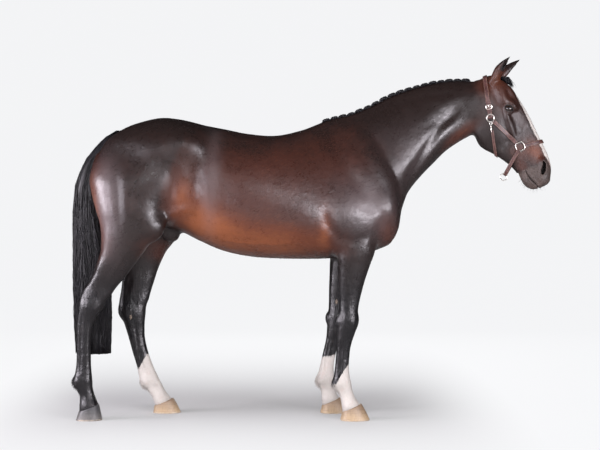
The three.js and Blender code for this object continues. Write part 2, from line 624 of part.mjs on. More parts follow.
// Hooves: ground outline from heel to toe, and the coronet's slanting plane above it.
const HOOVES = {
  fore_right: { side: RIGHT, heel: 158, toe: 324, half: 64, front: [276, 92], back: [168, 48] },
  fore_left: { side: LEFT, heel: 50, toe: 214, half: 64, front: [166, 88], back: [62, 44] },
  hind_right: { side: RIGHT, heel: -1312, toe: -1164, half: 58, front: [-1184, 90], back: [-1296, 48] },
  hind_left: { side: LEFT, heel: -910, toe: -750, half: 58, front: [-794, 84], back: [-904, 40] },
};
const HOOF_Y = 142;
function coronet({ side, front, back }) {
  const normal = [back[1] - front[1], 0, front[0] - back[0]];
  return { point: [front[0], side * HOOF_Y, front[1]], normal };
}

const evenly = (from, to, count) => (
  Array.from({ length: count }, (_, i) => from + (to - from) * i / (count - 1)));

// Sideways place of the head's and neck's middle, which swings to the right ahead of the neck's turn.
const turnAt = (x) => HEAD_TURN * smooth(clamp((x - TURN_FROM) / TURN_SPAN, 0, 1));
const middleOf = (x) => -(x - TURN_X) * Math.sin(turnAt(x));

const TRUNK_BODY = bodyPiece({
  pitch: 0, segments: 22, reach: 520, ends: [1, 1],
  centres: [
    [-1232, 1400], [-1220, 1400], [-1195, 1390], [-1155, 1370], [-1105, 1360],
    ...evenly(-1045, 160, 20).map((x) => [x, 1340]),
    [222, 1340], [285, 1340], [345, 1330], [400, 1300], [450, 1280], [490, 1260], [512, 1250],
  ].map(([x, z]) => [x, 0, z]),
});
const NECK_BODY = bodyPiece({
  pitch: 31, segments: 16, reach: 420,
  centres: evenly(-120, 800, 16).map((s) => {
    const x = 300 + 0.857 * s;
    return [x, middleOf(x), 1480 + 0.515 * s];
  }),
});
const HEAD_BODY = bodyPiece({
  pitch: -64.3, segments: 18, reach: 360, ends: [1, 1],
  centres: [
    [-12, -72], [10, -60], [35, -50], [65, -45], [92, -45], [106, -48], [118, -50], [130, -52], [142, -54],
    [158, -56], [185, -60], [215, -60],
    [245, -62], [280, -62], [315, -60], [350, -52], [385, -40], [420, -30], [455, -20], [490, -12],
    [520, -8], [548, -5], [574, -5], [598, -6], [620, -10], [640, -14], [656, -18], [668, -20],
  ].map(([s, u]) => turned(face3(s, u, 0)).toArray()),
});

const trunkSolid = (() => {
  let solid = TRUNK_BODY.solid;
  solid = solid.subtract(ahead(shift(NECK_BASE, -GAP / 2), NECK_BASE.normal));
  for (const spec of Object.values(LEG_BOXES)) solid = solid.subtract(legBox(spec, GAP));
  return largest(solid);
})();
add('trunk', trunkSolid, 'coat');

const neckSolid = (() => {
  let solid = NECK_BODY.solid;
  solid = solid.subtract(ahead(shift(NECK_BASE, GAP / 2), flip(NECK_BASE.normal)));
  solid = solid.subtract(ahead(shift(THROAT, -GAP / 2), THROAT.normal));
  return largest(solid);
})();
add('neck', neckSolid, 'coat');

function eyeBall(side, radius) {
  const g = new THREE.SphereGeometry(radius, 12, 7);
  const centre = turned(face3(EYE.s, EYE.u, side * EYE.y));
  g.translate(centre.x, centre.y, centre.z);
  return solidFromGeometry(g);
}

const headSolid = (() => {
  let solid = HEAD_BODY.solid;
  solid = solid.subtract(ahead(shift(THROAT, GAP / 2), flip(THROAT.normal)));
  for (const side of [RIGHT, LEFT]) solid = solid.subtract(eyeBall(side, EYE.radius + GAP));
  return largest(solid);
})();
add('head', headSolid, 'coat');
add('eye_right', eyeBall(RIGHT, EYE.radius), 'eye');
add('eye_left', eyeBall(LEFT, EYE.radius), 'eye');

const UPPER_LEGS = {};
Object.entries(LEG_BOXES).forEach(([name, spec], index) => {
  const { joint, top } = spec;
  const { rows, side } = LEGS[index];
  const centre = (z) => {
    const i = clamp(rows.findIndex((row) => row[0] <= z), 1, rows.length - 1);
    const t = clamp((rows[i - 1][0] - z) / (rows[i - 1][0] - rows[i][0]), 0, 1);
    const mix = (k) => rows[i - 1][k] + (rows[i][k] - rows[i - 1][k]) * t;
    return [mix(1), side * mix(2), z];
  };
  const fore = name.startsWith('fore');
  const upperHeights = fore ? evenly(1040, joint - 30, 15) : evenly(1050, joint - 30, 15);
  const lowerHeights = [...evenly(joint + 30, 150, fore ? 10 : 12), 120, 92, 66, 42];
  UPPER_LEGS[name] = bodyPiece({ pitch: 90, segments: 14, reach: 340, centres: upperHeights.map(centre) });
  const lowerLeg = bodyPiece({ pitch: 90, segments: 12, reach: 200, centres: lowerHeights.map(centre) });
  const upper = UPPER_LEGS[name].solid
    .intersect(legBox(spec))
    .subtract(ahead([0, 0, joint + GAP / 2], [0, 0, -1]));
  const cut = coronet(HOOVES[name]);
  const lower = lowerLeg.solid
    .subtract(ahead([0, 0, joint - GAP / 2], [0, 0, 1]))
    .subtract(ahead(shift(cut, GAP / 2), flip(cut.normal)));
  add(`${name.replace('_', 'leg_')}_upper`, largest(upper), 'coat');
  add(`${name.replace('_', 'leg_')}_lower`, largest(lower), 'coat');
});

// A hoof: rings from the coronet band down to the flat sole, squared off at the heels.
function hoof(spec) {
  const { side, heel, toe, half, front, back } = spec;
  const cut = coronet(spec);
  const top = shift(cut, -GAP / 2);
  const slope = (front[1] - back[1]) / (front[0] - back[0]);
  const segments = 16;
  const ring = (t, height) => {
    const x0 = back[0] + (heel - back[0]) * t;
    const x1 = front[0] + (toe - front[0]) * t;
    const width = 49 + (half - 49) * Math.sqrt(t);
    return Array.from({ length: segments }, (_, i) => {
      const a = 2 * Math.PI * i / segments;
      const c = Math.cos(a);
      const x = (x0 + x1) / 2 + (x1 - x0) / 2 * (c < 0 ? -((-c) ** 0.7) : c);
      const y = width * Math.sign(Math.sin(a)) * Math.abs(Math.sin(a)) ** 0.9;
      return [x, side * HOOF_Y + y, height(x)];
    });
  };
  const coronetHeight = (x) => top[2] + (x - top[0]) * slope;
  return skinRings([
    ring(1 - 0.03, () => 0),
    ring(1, () => 5),
    ring(0.1, (x) => coronetHeight(x) - 6),
    ring(0, coronetHeight)]);
}
for (const [name, spec] of Object.entries(HOOVES)) {
  add(`hoof_${name}`, hoof(spec), name === 'hind_right' ? 'darkHoof' : 'paleHoof');
}

// ---------------------------------------------------------------- ears
// An ear: a cupped leaf on a curved axis; each row is [place up the ear 0..1, half width, depth of the back].
const EAR_ROWS = [
  [0, 26, 24], [0.16, 31, 27], [0.34, 33, 25], [0.55, 29, 20], [0.75, 20, 13], [0.92, 8, 6], [1, 2.2, 2.2]];
const EARS = {
  ear_right: { side: RIGHT, root: [16, 26, 50], tip: [-53, 143, 80], facing: [0.55, 0.67] },
  ear_left: { side: LEFT, root: [22, 34, 50], tip: [-29, 188, 78], facing: [0.8, 0.48] },
};
function ear({ side, root, tip, facing }) {
  const from = turned(face3(root[0], root[1], side * root[2]));
  const to = turned(face3(tip[0], tip[1], side * tip[2]));
  const axis = to.clone().sub(from).normalize();
  const straight = [POLL.x + facing[0], side * facing[1], POLL.z];
  const open = turned(straight).sub(turned([POLL.x, 0, POLL.z]));
  open.addScaledVector(axis, -open.dot(axis)).normalize();
  const across = new THREE.Vector3().crossVectors(axis, open);
  const segments = 12;
  const rings = EAR_ROWS.map(([t, width, depth]) => {
    const centre = from.clone().lerp(to, t).addScaledVector(open, -10 * Math.sin(Math.PI * t));
    return Array.from({ length: segments }, (_, i) => {
      const a = 2 * Math.PI * i / segments;
      const back = Math.sin(a) < 0 ? 1 : -0.45;       // the front is hollow and follows the back
      const p = centre.clone();
      p.addScaledVector(across, width * Math.cos(a));
      p.addScaledVector(open, depth * Math.sin(a) * back);
      return p.toArray();
    });
  });
  return skinRings(rings);
}
const HEAD_AROUND = HEAD_BODY.swollen(1);
for (const [name, spec] of Object.entries(EARS)) add(name, largest(ear(spec).subtract(HEAD_AROUND)), 'coat');

// ---------------------------------------------------------------- tail, mane, forelock
// Tail: rows of [height, back edge, front edge, half width], hanging behind the hocks, banged level.
const TAIL = [
  [1572, -1192, -1150, 24], [1510, -1242, -1185, 44], [1410, -1300, -1215, 58], [1300, -1341, -1232, 68],
  [1200, -1351, -1230, 75], [1100, -1354, -1212, 80], [1000, -1355, -1180, 83], [900, -1355, -1142, 84],
  [740, -1353, -1128, 84], [560, -1350, -1127, 82], [430, -1344, -1129, 78], [352, -1338, -1132, 74]];
const tailSolid = (() => {
  const segments = 14;
  const rings = TAIL.map(([z, x0, x1, half]) => Array.from({ length: segments }, (_, i) => {
    const a = 2 * Math.PI * i / segments;
    const round = (v) => Math.sign(v) * Math.abs(v) ** 0.85;
    return [(x0 + x1) / 2 + (x1 - x0) / 2 * round(Math.cos(a)), half * round(Math.sin(a)), z];
  })).reverse();
  return skinRings(rings);
})();
const clearTail = ['hind_right', 'hind_left'].reduce(
  (solid, name) => solid.subtract(UPPER_LEGS[name].swollen(2)), tailSolid.subtract(TRUNK_BODY.swollen(2)));
add('tail', largest(clearTail), 'blackHair');

// A point on the crest, at a place along the neck and a distance out from its middle plane.
function crestPoint(x, out) {
  const [c, s] = [Math.cos(turnAt(x)), Math.sin(turnAt(x))];
  const px = TURN_X + (x - TURN_X) * c + out * s;
  const py = -(x - TURN_X) * s + out * c;
  let z = 2100;
  while (body(px, py, z) > 0) z -= 1;
  return new THREE.Vector3(px, py, z);
}

// Mane: a row of plaited knots along the crest, joined by the low ridge of its roots. Each ring
// has its two feet and its middle just above the skin.
const MANE = {
  first: 84, last: 872, knots: 18, lift: 3,
  knot: { tall: 19, wide: 13 }, ridge: { tall: 9, wide: 8 },
};
const maneSolid = (() => {
  const count = 2 * MANE.knots - 1;
  const rings = [];
  for (let i = -1; i <= count; i++) {
    const x = MANE.first + (MANE.last - MANE.first) * i / (count - 1);
    const isEnd = i < 0 || i === count;
    const scale = isEnd ? 0.4 : 1;
    const { tall, wide } = !isEnd && i % 2 === 0 ? MANE.knot : MANE.ridge;
    const foot = (out) => crestPoint(x, out * scale).add(new THREE.Vector3(0, 0, MANE.lift));
    const rise = (p, by) => p.add(new THREE.Vector3(0, 0, by * scale));
    rings.push([
      foot(-wide), foot(0), foot(wide),
      rise(foot(1.1 * wide), 0.45 * tall), rise(foot(0.5 * wide), 0.85 * tall),
      rise(foot(-0.5 * wide), 0.85 * tall), rise(foot(-1.1 * wide), 0.45 * tall),
    ].map((p) => p.toArray()));
  }
  return skinRings(rings);
})();
add('mane', maneSolid, 'blackHair');

// Forelock: plaited and folded into one knot between the ears.
const forelockSolid = (() => {
  const g = new THREE.SphereGeometry(1, 8, 6);
  g.scale(36, 24, 20);
  g.rotateY(THREE.MathUtils.degToRad(38));
  const centre = turned(face3(50, 74, 4));
  g.translate(centre.x, centre.y, centre.z);
  return solidFromGeometry(g);
})();
add('forelock', largest(forelockSolid.subtract(HEAD_AROUND)), 'blackHair');

// ---------------------------------------------------------------- headcollar
// Steps in from outside towards the head until the skin is met; returns that place.
function meetSkin(point, inward) {
  const p = point.clone();
  const at = () => body(...turned(p.toArray()).toArray());
  for (let i = 0; i < 260 && at() > 0; i++) p.addScaledVector(inward, Math.max(0.5 * at(), 0.2));
  return p;
}

// A strap laid on the head. Each guide is { on, from }: a place near the strap's middle and the
// place inside the head that it faces. Both edges are let down to the skin before thickness is added.
function strap(guides, width, { free = false, thick = STRAP.thick, lift = STRAP.lift } = {}) {
  const vec = (a) => new THREE.Vector3(...a);
  const middles = guides.map(({ on, from }) => {
    const out = vec(on).sub(vec(from)).normalize();
    return { out, on: free ? vec(on) : meetSkin(vec(on).addScaledVector(out, 70), out.clone().negate()) };
  });
  const rings = middles.map(({ out, on }, i) => {
    const before = middles[Math.max(i - 1, 0)].on;
    const after = middles[Math.min(i + 1, middles.length - 1)].on;
    const along = after.clone().sub(before).normalize();
    const across = new THREE.Vector3().crossVectors(along, out).normalize();
    const up = new THREE.Vector3().crossVectors(across, along).normalize();
    const edges = [-0.5, 0.5].map((k) => {
      const high = on.clone().addScaledVector(across, k * width).addScaledVector(out, free ? 0 : 50);
      return free ? high : meetSkin(high, out.clone().negate());
    });
    const [a, b] = edges.map((e) => e.clone().addScaledVector(up, lift));
    const [c, d] = edges.map((e) => e.clone().addScaledVector(up, lift + thick));
    return [a, b, d, c].map((p) => turned(p.toArray()).toArray());
  });
  return skinRings(rings);
}

// Guides round an arc in the plane of the head's sideways axis and a second direction in its side view.
function arc(centre, second, from, to, count) {
  const n = Math.hypot(second[0], second[1]);
  return Array.from({ length: count }, (_, i) => {
    const a = THREE.MathUtils.degToRad(from + (to - from) * i / (count - 1));
    const along = 100 * Math.sin(a) / n;
    const on = face3(centre[0] + second[0] * along, centre[1] + second[1] * along, 100 * Math.cos(a));
    return { on, from: face3(centre[0], centre[1], 0) };
  });
}

// Guides down one cheek; each point is [s, u] in the head's side view.
function cheek(side, points) {
  return points.map(([s, u]) => ({ on: face3(s, u, side * 110), from: face3(s, u, 0) }));
}

// A ring of round wire lying against the cheek, at a place in the head's side view.
function ring(side, s, u, radius, wire, { y = null, corners = 14 } = {}) {
  const g = new THREE.TorusGeometry(radius - wire, wire, 4, corners);
  const inward = new THREE.Vector3(0, -side, 0);
  const at = (ds) => meetSkin(new THREE.Vector3(...face3(s + ds, u, side * 150)), inward).y;
  const [above, below] = [at(-radius), at(radius)];
  const lean = Math.atan2(Math.abs(above) - Math.abs(below), 2 * radius);
  g.rotateX(Math.PI / 2);
  const axis = new THREE.Vector3(...face(0, 1)).sub(new THREE.Vector3(...face(0, 0)));
  const hinge = new THREE.Vector3(axis.x, 0, axis.y).normalize();
  const tilt = new THREE.Matrix4().makeRotationAxis(hinge, -side * lean);
  if (y === null) g.applyMatrix4(tilt);
  const depth = y === null ? Math.max(Math.abs(above), Math.abs(below)) + wire + 2.5 : y;
  const [x, , z] = face3(s, u, 0);
  g.translate(x, y === null ? side * depth : y, z);
  const p = g.attributes.position;
  for (let i = 0; i < p.count; i++) {
    const v = turned([p.getX(i), p.getY(i), p.getZ(i)]);
    p.setXYZ(i, v.x, v.y, v.z);
  }
  return solidFromGeometry(g);
}

const crownGuides = arc([86, -62], [-240, 74], -36, 216, 15);
add('headcollar_crown', strap(crownGuides, STRAP.crown, { lift: 6.5 }), 'leather');
add('headcollar_noseband', strap(arc([428, 10], [23, 122], -2, 182, 13), STRAP.wide), 'leather');
const throatGuides = arc([300, -130], [217, -73], -40, 197, 13);
add('headcollar_throat', strap(throatGuides, STRAP.narrow, { lift: 4 }), 'leather');
for (const side of [RIGHT, LEFT]) {
  const name = side === RIGHT ? 'right' : 'left';
  const down = cheek(side, [[236, -88], [275, -74], [315, -59], [355, -45], [390, -33]]);
  add(`headcollar_cheek_${name}`, strap(down, STRAP.wide), 'leather');
  add(`headcollar_ring_${name}`, ring(side, 206, -99, 24, 3.2), 'metal');
  add(`headcollar_square_${name}`, ring(side, 420, -21, 28, 3.4, { corners: 8 }), 'metal');
}
const chinPath = [[444, -50, 58], [470, -90, 53], [497, -128, 43], [518, -158, 27], [527, -170, 0]];
const chinGuides = [...chinPath.map(([s, u, y]) => [s, u, -y]), ...chinPath.slice(0, -1).reverse()]
  .map(([s, u, y]) => ({ on: face3(s, u, y), from: face3(s - 60, u + 100, 0) }));
add('headcollar_chin', strap(chinGuides, 20, { free: true, lift: 0 }), 'leather');
add('headcollar_lead_ring', ring(RIGHT, 532, -178, 22, 2.6, { y: 0 }), 'metal');
const snapGuides = cheek(RIGHT, [[234, -111], [248, -117], [262, -122]]);
add('headcollar_snap', strap(snapGuides, 9, { thick: 7 }), 'metal');

export default horse;
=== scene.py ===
# %% [markdown]
# # A standing horse, life size
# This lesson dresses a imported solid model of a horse: one seamless skin, short coat, tail, plaited
# mane, eyes, hooves and a leather headcollar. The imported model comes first, because every piece
# below is placed from it. Lengths inside the shaping code are in millimetres, as a maker would
# say them, and become metres when a mesh is made.

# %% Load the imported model
import bpy
import bmesh
import numpy as np
from math import cos, hypot, pi, radians, sin, sqrt
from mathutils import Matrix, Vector


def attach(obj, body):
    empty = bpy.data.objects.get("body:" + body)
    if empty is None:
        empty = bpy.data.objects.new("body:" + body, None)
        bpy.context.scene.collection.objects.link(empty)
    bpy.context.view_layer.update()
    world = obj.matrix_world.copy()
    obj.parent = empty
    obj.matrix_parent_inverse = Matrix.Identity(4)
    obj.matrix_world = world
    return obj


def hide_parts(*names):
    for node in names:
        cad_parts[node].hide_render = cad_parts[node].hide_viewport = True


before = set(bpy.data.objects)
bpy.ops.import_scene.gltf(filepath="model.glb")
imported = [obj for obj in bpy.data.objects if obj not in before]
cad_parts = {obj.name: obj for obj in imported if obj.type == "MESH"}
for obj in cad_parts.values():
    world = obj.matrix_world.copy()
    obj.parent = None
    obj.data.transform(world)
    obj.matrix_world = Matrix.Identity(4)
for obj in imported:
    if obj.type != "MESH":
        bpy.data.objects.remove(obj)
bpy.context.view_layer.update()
MM = 0.001
print("packed nodes:", len(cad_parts))

# %% [markdown]
# ## Camera, floor and light
# A horse is shown from the side with a long lens from a good distance, so that the legs nearer and
# farther keep their true proportions. The floor sweeps up behind it without a corner. Large soft
# lamps matter most here: a groomed coat is a mirror for them, and their size sets how soft its
# sheen is.

# %% Camera
WITHERS_EYE = 1.25      # height of the lens above the floor
DISTANCE = 8.2          # from the lens to the middle plane of the horse
camera_data = bpy.data.cameras.new("camera")
camera_data.sensor_width = 36
camera_data.lens = 86.9
camera_data.shift_y = -0.0497
camera_data.clip_end = 60
camera = bpy.data.objects.new("camera", camera_data)
bpy.context.scene.collection.objects.link(camera)
camera.location = (-0.065, -DISTANCE, WITHERS_EYE)
camera.rotation_euler = (pi / 2, 0, 0)
bpy.context.scene.camera = camera
bpy.context.scene.view_settings.view_transform = "Standard"
print("camera:", camera_data.lens, "mm lens,", DISTANCE, "m from the middle plane")


# %% Helpers for meshes and materials
def plug(tree, socket, value):
    """Sets a node's input, or links it where the value is the output of another node."""
    if isinstance(value, Sock):
        tree.links.new(value.out, socket)
    else:
        socket.default_value = value


class Sock:
    """The output of a node, which can be used in plain sums."""
    def __init__(self, tree, out):
        self.tree, self.out = tree, out

    def _math(self, op, *others):
        node = self.tree.nodes.new("ShaderNodeMath")
        node.operation = op
        for socket, value in zip(node.inputs, (self, *others)):
            plug(self.tree, socket, value)
        return Sock(self.tree, node.outputs[0])

    def __add__(self, o): return self._math("ADD", o)
    def __radd__(self, o): return self._math("ADD", o)
    def __sub__(self, o): return self._math("SUBTRACT", o)
    def __rsub__(self, o): return (self * -1.0) + o
    def __mul__(self, o): return self._math("MULTIPLY", o)
    def power(self, o): return self._math("POWER", o)
    def abs(self): return self._math("ABSOLUTE")
    def clamp(self): return self._math("MAXIMUM", 0.0)._math("MINIMUM", 1.0)

    def step(self, low, high):
        """0 below low, 1 above high, smooth between."""
        node = self.tree.nodes.new("ShaderNodeMapRange")
        node.interpolation_type = "SMOOTHSTEP"
        self.tree.links.new(self.out, node.inputs["Value"])
        node.inputs["From Min"].default_value = low
        node.inputs["From Max"].default_value = high
        return Sock(self.tree, node.outputs[0])


class Finish:
    """A material with one shader, and short ways to add nodes to it."""
    def __init__(self, name, color, roughness, **sockets):
        self.mat = bpy.data.materials.new(name)
        self.mat.use_nodes = True
        self.tree = self.mat.node_tree
        self.shader = self.tree.nodes["Principled BSDF"]
        self.shader.inputs["Base Color"].default_value = (*color, 1)
        self.shader.inputs["Roughness"].default_value = roughness
        for key, value in sockets.items():
            self.shader.inputs[key.replace("_", " ")].default_value = value

    def node(self, kind, settings=None, **inputs):
        """Adds a node; inputs are named with _ for spaces. Returns its first output."""
        node = self.tree.nodes.new("ShaderNode" + kind)
        for key, value in (settings or {}).items():
            setattr(node, key, value)
        for key, value in inputs.items():
            plug(self.tree, node.inputs[key.replace("_", " ")], value)
        self.last = node
        return Sock(self.tree, node.outputs[0])

    def here(self):
        node = self.tree.nodes.new("ShaderNodeTexCoord")
        return Sock(self.tree, node.outputs["Object"])

    def split(self, vector):
        self.node("SeparateXYZ", Vector=vector)
        return [Sock(self.tree, o) for o in self.last.outputs]

    def attribute(self, name, part="Vector"):
        self.node("Attribute", {"attribute_name": name})
        return Sock(self.tree, self.last.outputs[part])

    def scaled(self, vector, scale):
        return self.node("Mapping", Vector=vector, Scale=scale)

    def vector(self, op, a, b):
        node = self.tree.nodes.new("ShaderNodeVectorMath")
        node.operation = op
        plug(self.tree, node.inputs[0], a)
        plug(self.tree, node.inputs["Scale" if op == "SCALE" else 1], b)
        return Sock(self.tree, node.outputs["Value" if op == "DOT_PRODUCT" else "Vector"])

    def noise(self, vector, scale, detail=2.0, roughness=0.5):
        return self.node("TexNoise", Vector=vector, Scale=scale, Detail=detail, Roughness=roughness)

    def mix(self, amount, a, b):
        node = self.tree.nodes.new("ShaderNodeMix")
        node.data_type = "RGBA"
        for i, value in ((0, amount), (6, a), (7, b)):
            plug(self.tree, node.inputs[i], (*value, 1) if isinstance(value, tuple) else value)
        return Sock(self.tree, node.outputs[2])

    def color(self, value):
        self.tree.links.new(value.out, self.shader.inputs["Base Color"])

    def rough(self, value):
        self.tree.links.new(value.out, self.shader.inputs["Roughness"])

    def bump(self, height, distance, strength=1.0, **below):
        """Bumps by a height; other bumps lie below them when they are given as Normal."""
        normal = self.node("Bump", Height=height, Distance=distance, Strength=strength, **below)
        self.tree.links.new(normal.out, self.shader.inputs["Normal"])
        return normal


def mesh_object(name, points, faces, finish=None, smooth=True):
    """Makes an object from points in millimetres and faces given as an array or a list."""
    mesh = bpy.data.meshes.new(name)
    points = np.asarray(points, float) * MM
    if isinstance(faces, np.ndarray):
        mesh.vertices.add(len(points))
        mesh.vertices.foreach_set("co", points.ravel())
        count, corners = faces.shape
        mesh.loops.add(count * corners)
        mesh.loops.foreach_set("vertex_index", faces.astype(np.int32).ravel())
        mesh.polygons.add(count)
        mesh.polygons.foreach_set(
            "loop_start", np.arange(0, count * corners, corners, dtype=np.int32))
        mesh.update(calc_edges=True)
        mesh.validate()
    else:
        mesh.from_pydata([tuple(p) for p in points], [], faces)
    mesh.polygons.foreach_set("use_smooth", np.full(len(mesh.polygons), smooth))
    ob = bpy.data.objects.new(name, mesh)
    bpy.context.scene.collection.objects.link(ob)
    if finish:
        mesh.materials.append(finish.mat)
    return ob


def triangles(ob):
    return sum(len(p.vertices) - 2 for p in ob.data.polygons)


def store(ob, name, data, each=1):
    """Stores a number or a vector on the points of a piece, the same one for each few points."""
    data = np.repeat(np.asarray(data, np.float32), each, axis=0)
    kind, field = ("FLOAT", "value") if data.ndim == 1 else ("FLOAT_VECTOR", "vector")
    ob.data.attributes.new(name, kind, "POINT").data.foreach_set(field, data.ravel())


def face_outward(ob):
    """Turns the faces of a closed piece outward."""
    bm = bmesh.new()
    bm.from_mesh(ob.data)
    bmesh.ops.recalc_face_normals(bm, faces=bm.faces)
    bm.to_mesh(ob.data)
    bm.free()


# %% Meshes from rings of points
def ring_faces(rings, count, loop=False, caps=True, down=False):
    """Faces between rings of count points; in a loop the last ring meets the first."""
    faces = []
    for r in range(rings if loop else rings - 1):
        for i in range(count):
            a, b = r * count + i, r * count + (i + 1) % count
            c, d = (b + count) % (rings * count), (a + count) % (rings * count)
            faces.append((a, d, c, b) if down else (a, b, c, d))
    ends = [tuple(range(count))[::-1], tuple(range((rings - 1) * count, rings * count))]
    return faces + [end[::-1] if down else end for end in ends] * (caps and not loop)


def merged(meshes):
    """Several (points, faces) as one."""
    starts = np.cumsum([0] + [len(p) for p, _ in meshes]).tolist()
    points = np.concatenate([p for p, _ in meshes])
    if isinstance(meshes[0][1], np.ndarray):
        return points, np.concatenate([f + start for (_, f), start in zip(meshes, starts)])
    return points, [tuple(i + start for i in g) for (_, f), start in zip(meshes, starts) for g in f]


# %% Tubes along many paths
def unit(v):
    return v / np.maximum(np.linalg.norm(v, axis=-1, keepdims=True), 1e-9)


def tubes(paths, widths, corners=3, flat=1.0, across=(0, 1, 0)):
    """Thin closed tubes along many paths: paths (n, m, 3), widths (n, m)."""
    n, m, _ = paths.shape
    along = unit(np.gradient(paths, axis=1))
    side = unit(np.cross(along, np.broadcast_to(across, along.shape)))
    other = np.cross(along, side)
    rings = [paths + widths[..., None] / 2 * (side * cos(a) * flat + other * sin(a))
             for a in (2 * pi * k / corners for k in range(corners))]
    points = np.stack(rings, 2).reshape(n, m * corners, 3)
    local = []
    for r in range(m - 1):
        for k in range(corners):
            a, b = r * corners + k, r * corners + (k + 1) % corners
            local += [(a, b, b + corners), (a, b + corners, a + corners)]
    for k in range(1, corners - 1):
        end = (m - 1) * corners
        local += [(0, k + 1, k), (end, end + k, end + k + 1)]
    faces = np.array(local)[None] + (np.arange(n) * m * corners)[:, None, None]
    return points.reshape(-1, 3), faces.reshape(-1, 3)


# %% Floor and backdrop
floor_finish = Finish("pale_floor", (0.70, 0.705, 0.71), 0.9, Specular_IOR_Level=0.1)
FAR, SWEEP_FROM, SWEEP_RADIUS, WALL_TOP = 400000, 24000, 9000, 60000      # in millimetres
sweep = [(-FAR, 0), (SWEEP_FROM, 0)]
sweep += [(SWEEP_FROM + SWEEP_RADIUS * sin(a), SWEEP_RADIUS * (1 - cos(a)))
          for a in np.linspace(0.15, pi / 2, 12)]
sweep += [(SWEEP_FROM + SWEEP_RADIUS, WALL_TOP)]
rim = [[(x, y, z) for y, z in sweep] for x in (-FAR, FAR)]
n = len(sweep)
floor = mesh_object("floor", rim[0] + rim[1], [(i, i + n, i + n + 1, i + 1) for i in range(n - 1)],
                    floor_finish)
# the floor and wall glow for the camera alone, a painted light that the horse does not mirror; round
# the feet the glow gives way to a painted shadow pool
x, y, _ = floor_finish.split(floor_finish.here())
seen = floor_finish.node("LightPath")
side_way, deep_way = x + 0.42, y - 0.55
# how far a place is from the middle of the painted shadow pool on the floor, where the lamps' own
# light and shadows show
shadow_pool_reach = side_way.abs().power(8.0) * 0.22 + deep_way * deep_way * 0.9
painted_shadow_pool = ((shadow_pool_reach + 1.0).power(-1.0) - 0.08).clamp()
# painted shadow pool: to the camera the floor is almost black outside the pool and grey inside it;
# other rays see an even grey
tone = floor_finish.mix(painted_shadow_pool, (0.02, 0.02, 0.02), (0.47, 0.47, 0.47))
floor_finish.color(floor_finish.mix(seen, (0.45, 0.45, 0.45), tone))
# painted glow for the camera alone, which fades inside the shadow pool
painted_camera_glow = seen * (painted_shadow_pool * -0.935 + 0.915)
floor_finish.tree.links.new(painted_camera_glow.out, floor_finish.shader.inputs["Emission Strength"])
floor_finish.shader.inputs["Emission Color"].default_value = (0.98, 0.985, 1.0, 1)
print("floor:", len(floor.data.polygons), "faces")

# %% Lamps
world = bpy.data.worlds.new("studio")
bpy.context.scene.world = world
world.use_nodes = True
world.node_tree.nodes["Background"].inputs["Color"].default_value = (0.90, 0.93, 1.0, 1)
world.node_tree.nodes["Background"].inputs["Strength"].default_value = 0.105


def lamp(name, place, aim, size, power, tint=(1, 1, 1), mirrored=True):
    data = bpy.data.lights.new(name, "AREA")
    data.shape = "RECTANGLE"
    data.size, data.size_y = size
    data.energy = power
    data.color = tint
    ob = bpy.data.objects.new(name, data)
    bpy.context.scene.collection.objects.link(ob)
    ob.location = place
    ob.rotation_euler = (Vector(aim) - Vector(place)).to_track_quat("-Z", "Y").to_euler()
    ob.visible_camera = False
    ob.visible_glossy = mirrored        # a lamp behind a large scrim leaves no reflection


lamp("key", (-0.6, -7.0, 4.2), (-0.1, 0, 1.2), (5.5, 1.3), 240, (1, 0.975, 0.95), mirrored=False)
lamp("side_left", (-5.9, -1.9, 1.8), (-0.8, 0, 1.2), (2.8, 2.4), 430, (0.97, 0.91, 1))
lamp("rear_card", (-4.4, -4.6, 1.7), (-0.8, 0, 1.2), (2.0, 1.9), 150, (0.97, 0.91, 1))
lamp("cheek_card", (2.5, -7.0, 1.7), (0.8, 0, 1.5), (1.8, 1.6), 62, (0.98, 0.93, 1))
lamp("low_card", (-0.3, -4.6, 0.25), (-0.3, 0, 0.95), (4.2, 0.4), 50, (1, 0.96, 0.92),
     mirrored=False)
lamp("side_right", (3.8, -5.4, 1.5), (0.5, 0, 1.3), (3.2, 2.0), 400, (0.98, 0.93, 1))
lamp("front_card", (-0.4, -7.6, 3.0), (-0.1, 0, 1.2), (2.6, 0.7), 70, (0.97, 0.95, 1))
lamp("overhead", (-0.2, 0.2, 5.2), (0, 0, 0.8), (4.0, 1.6), 50, mirrored=False)
lamp("far_side", (0.0, 5.0, 1.7), (0, 0, 1.2), (4.5, 1.4), 100)
print("lamps placed")

# %% [markdown]
# ## The body's shape
# A horse is one continuous form, so it is described as a field: a number for every point of space
# that is negative inside the body. Long parts are lofts through sections, muscles and bones are
# ellipsoids that melt into them, and hollows are shallow grooves added to the field. The field is
# the only way to have the neck flow into the shoulder without a seam. Its numbers are the same
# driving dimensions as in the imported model.

# %% Building blocks of the field
HEAD_TURN = radians(10)          # the head looks a little to its right
TURN_X, TURN_FROM, TURN_SPAN = 850, 720, 240
POLL = (1016, 1909)              # start of the head's own axis
HEAD_PITCH = radians(-64.3)
HC, HS = cos(HEAD_PITCH), sin(HEAD_PITCH)
LEG_TOP = 1700
EYE = dict(s=202, u=16, y=63, radius=24)
RIGHT, LEFT, BOTH = -1, 1, 0


def smooth(t):
    t = np.clip(t, 0, 1)
    return t * t * (3 - 2 * t)


def blend(a, b, k):
    """The nearer of two distances, with a fillet of about the size k."""
    h = np.maximum(k - np.abs(a - b), 0) / k
    return np.minimum(a, b) - h * h * k * 0.25


def carve(a, b, k):
    """Takes the inside of b away from a, with a rounded edge."""
    return -blend(-a, b, k)


def side_of(y, side):
    return np.abs(y) if side == BOTH else y * side


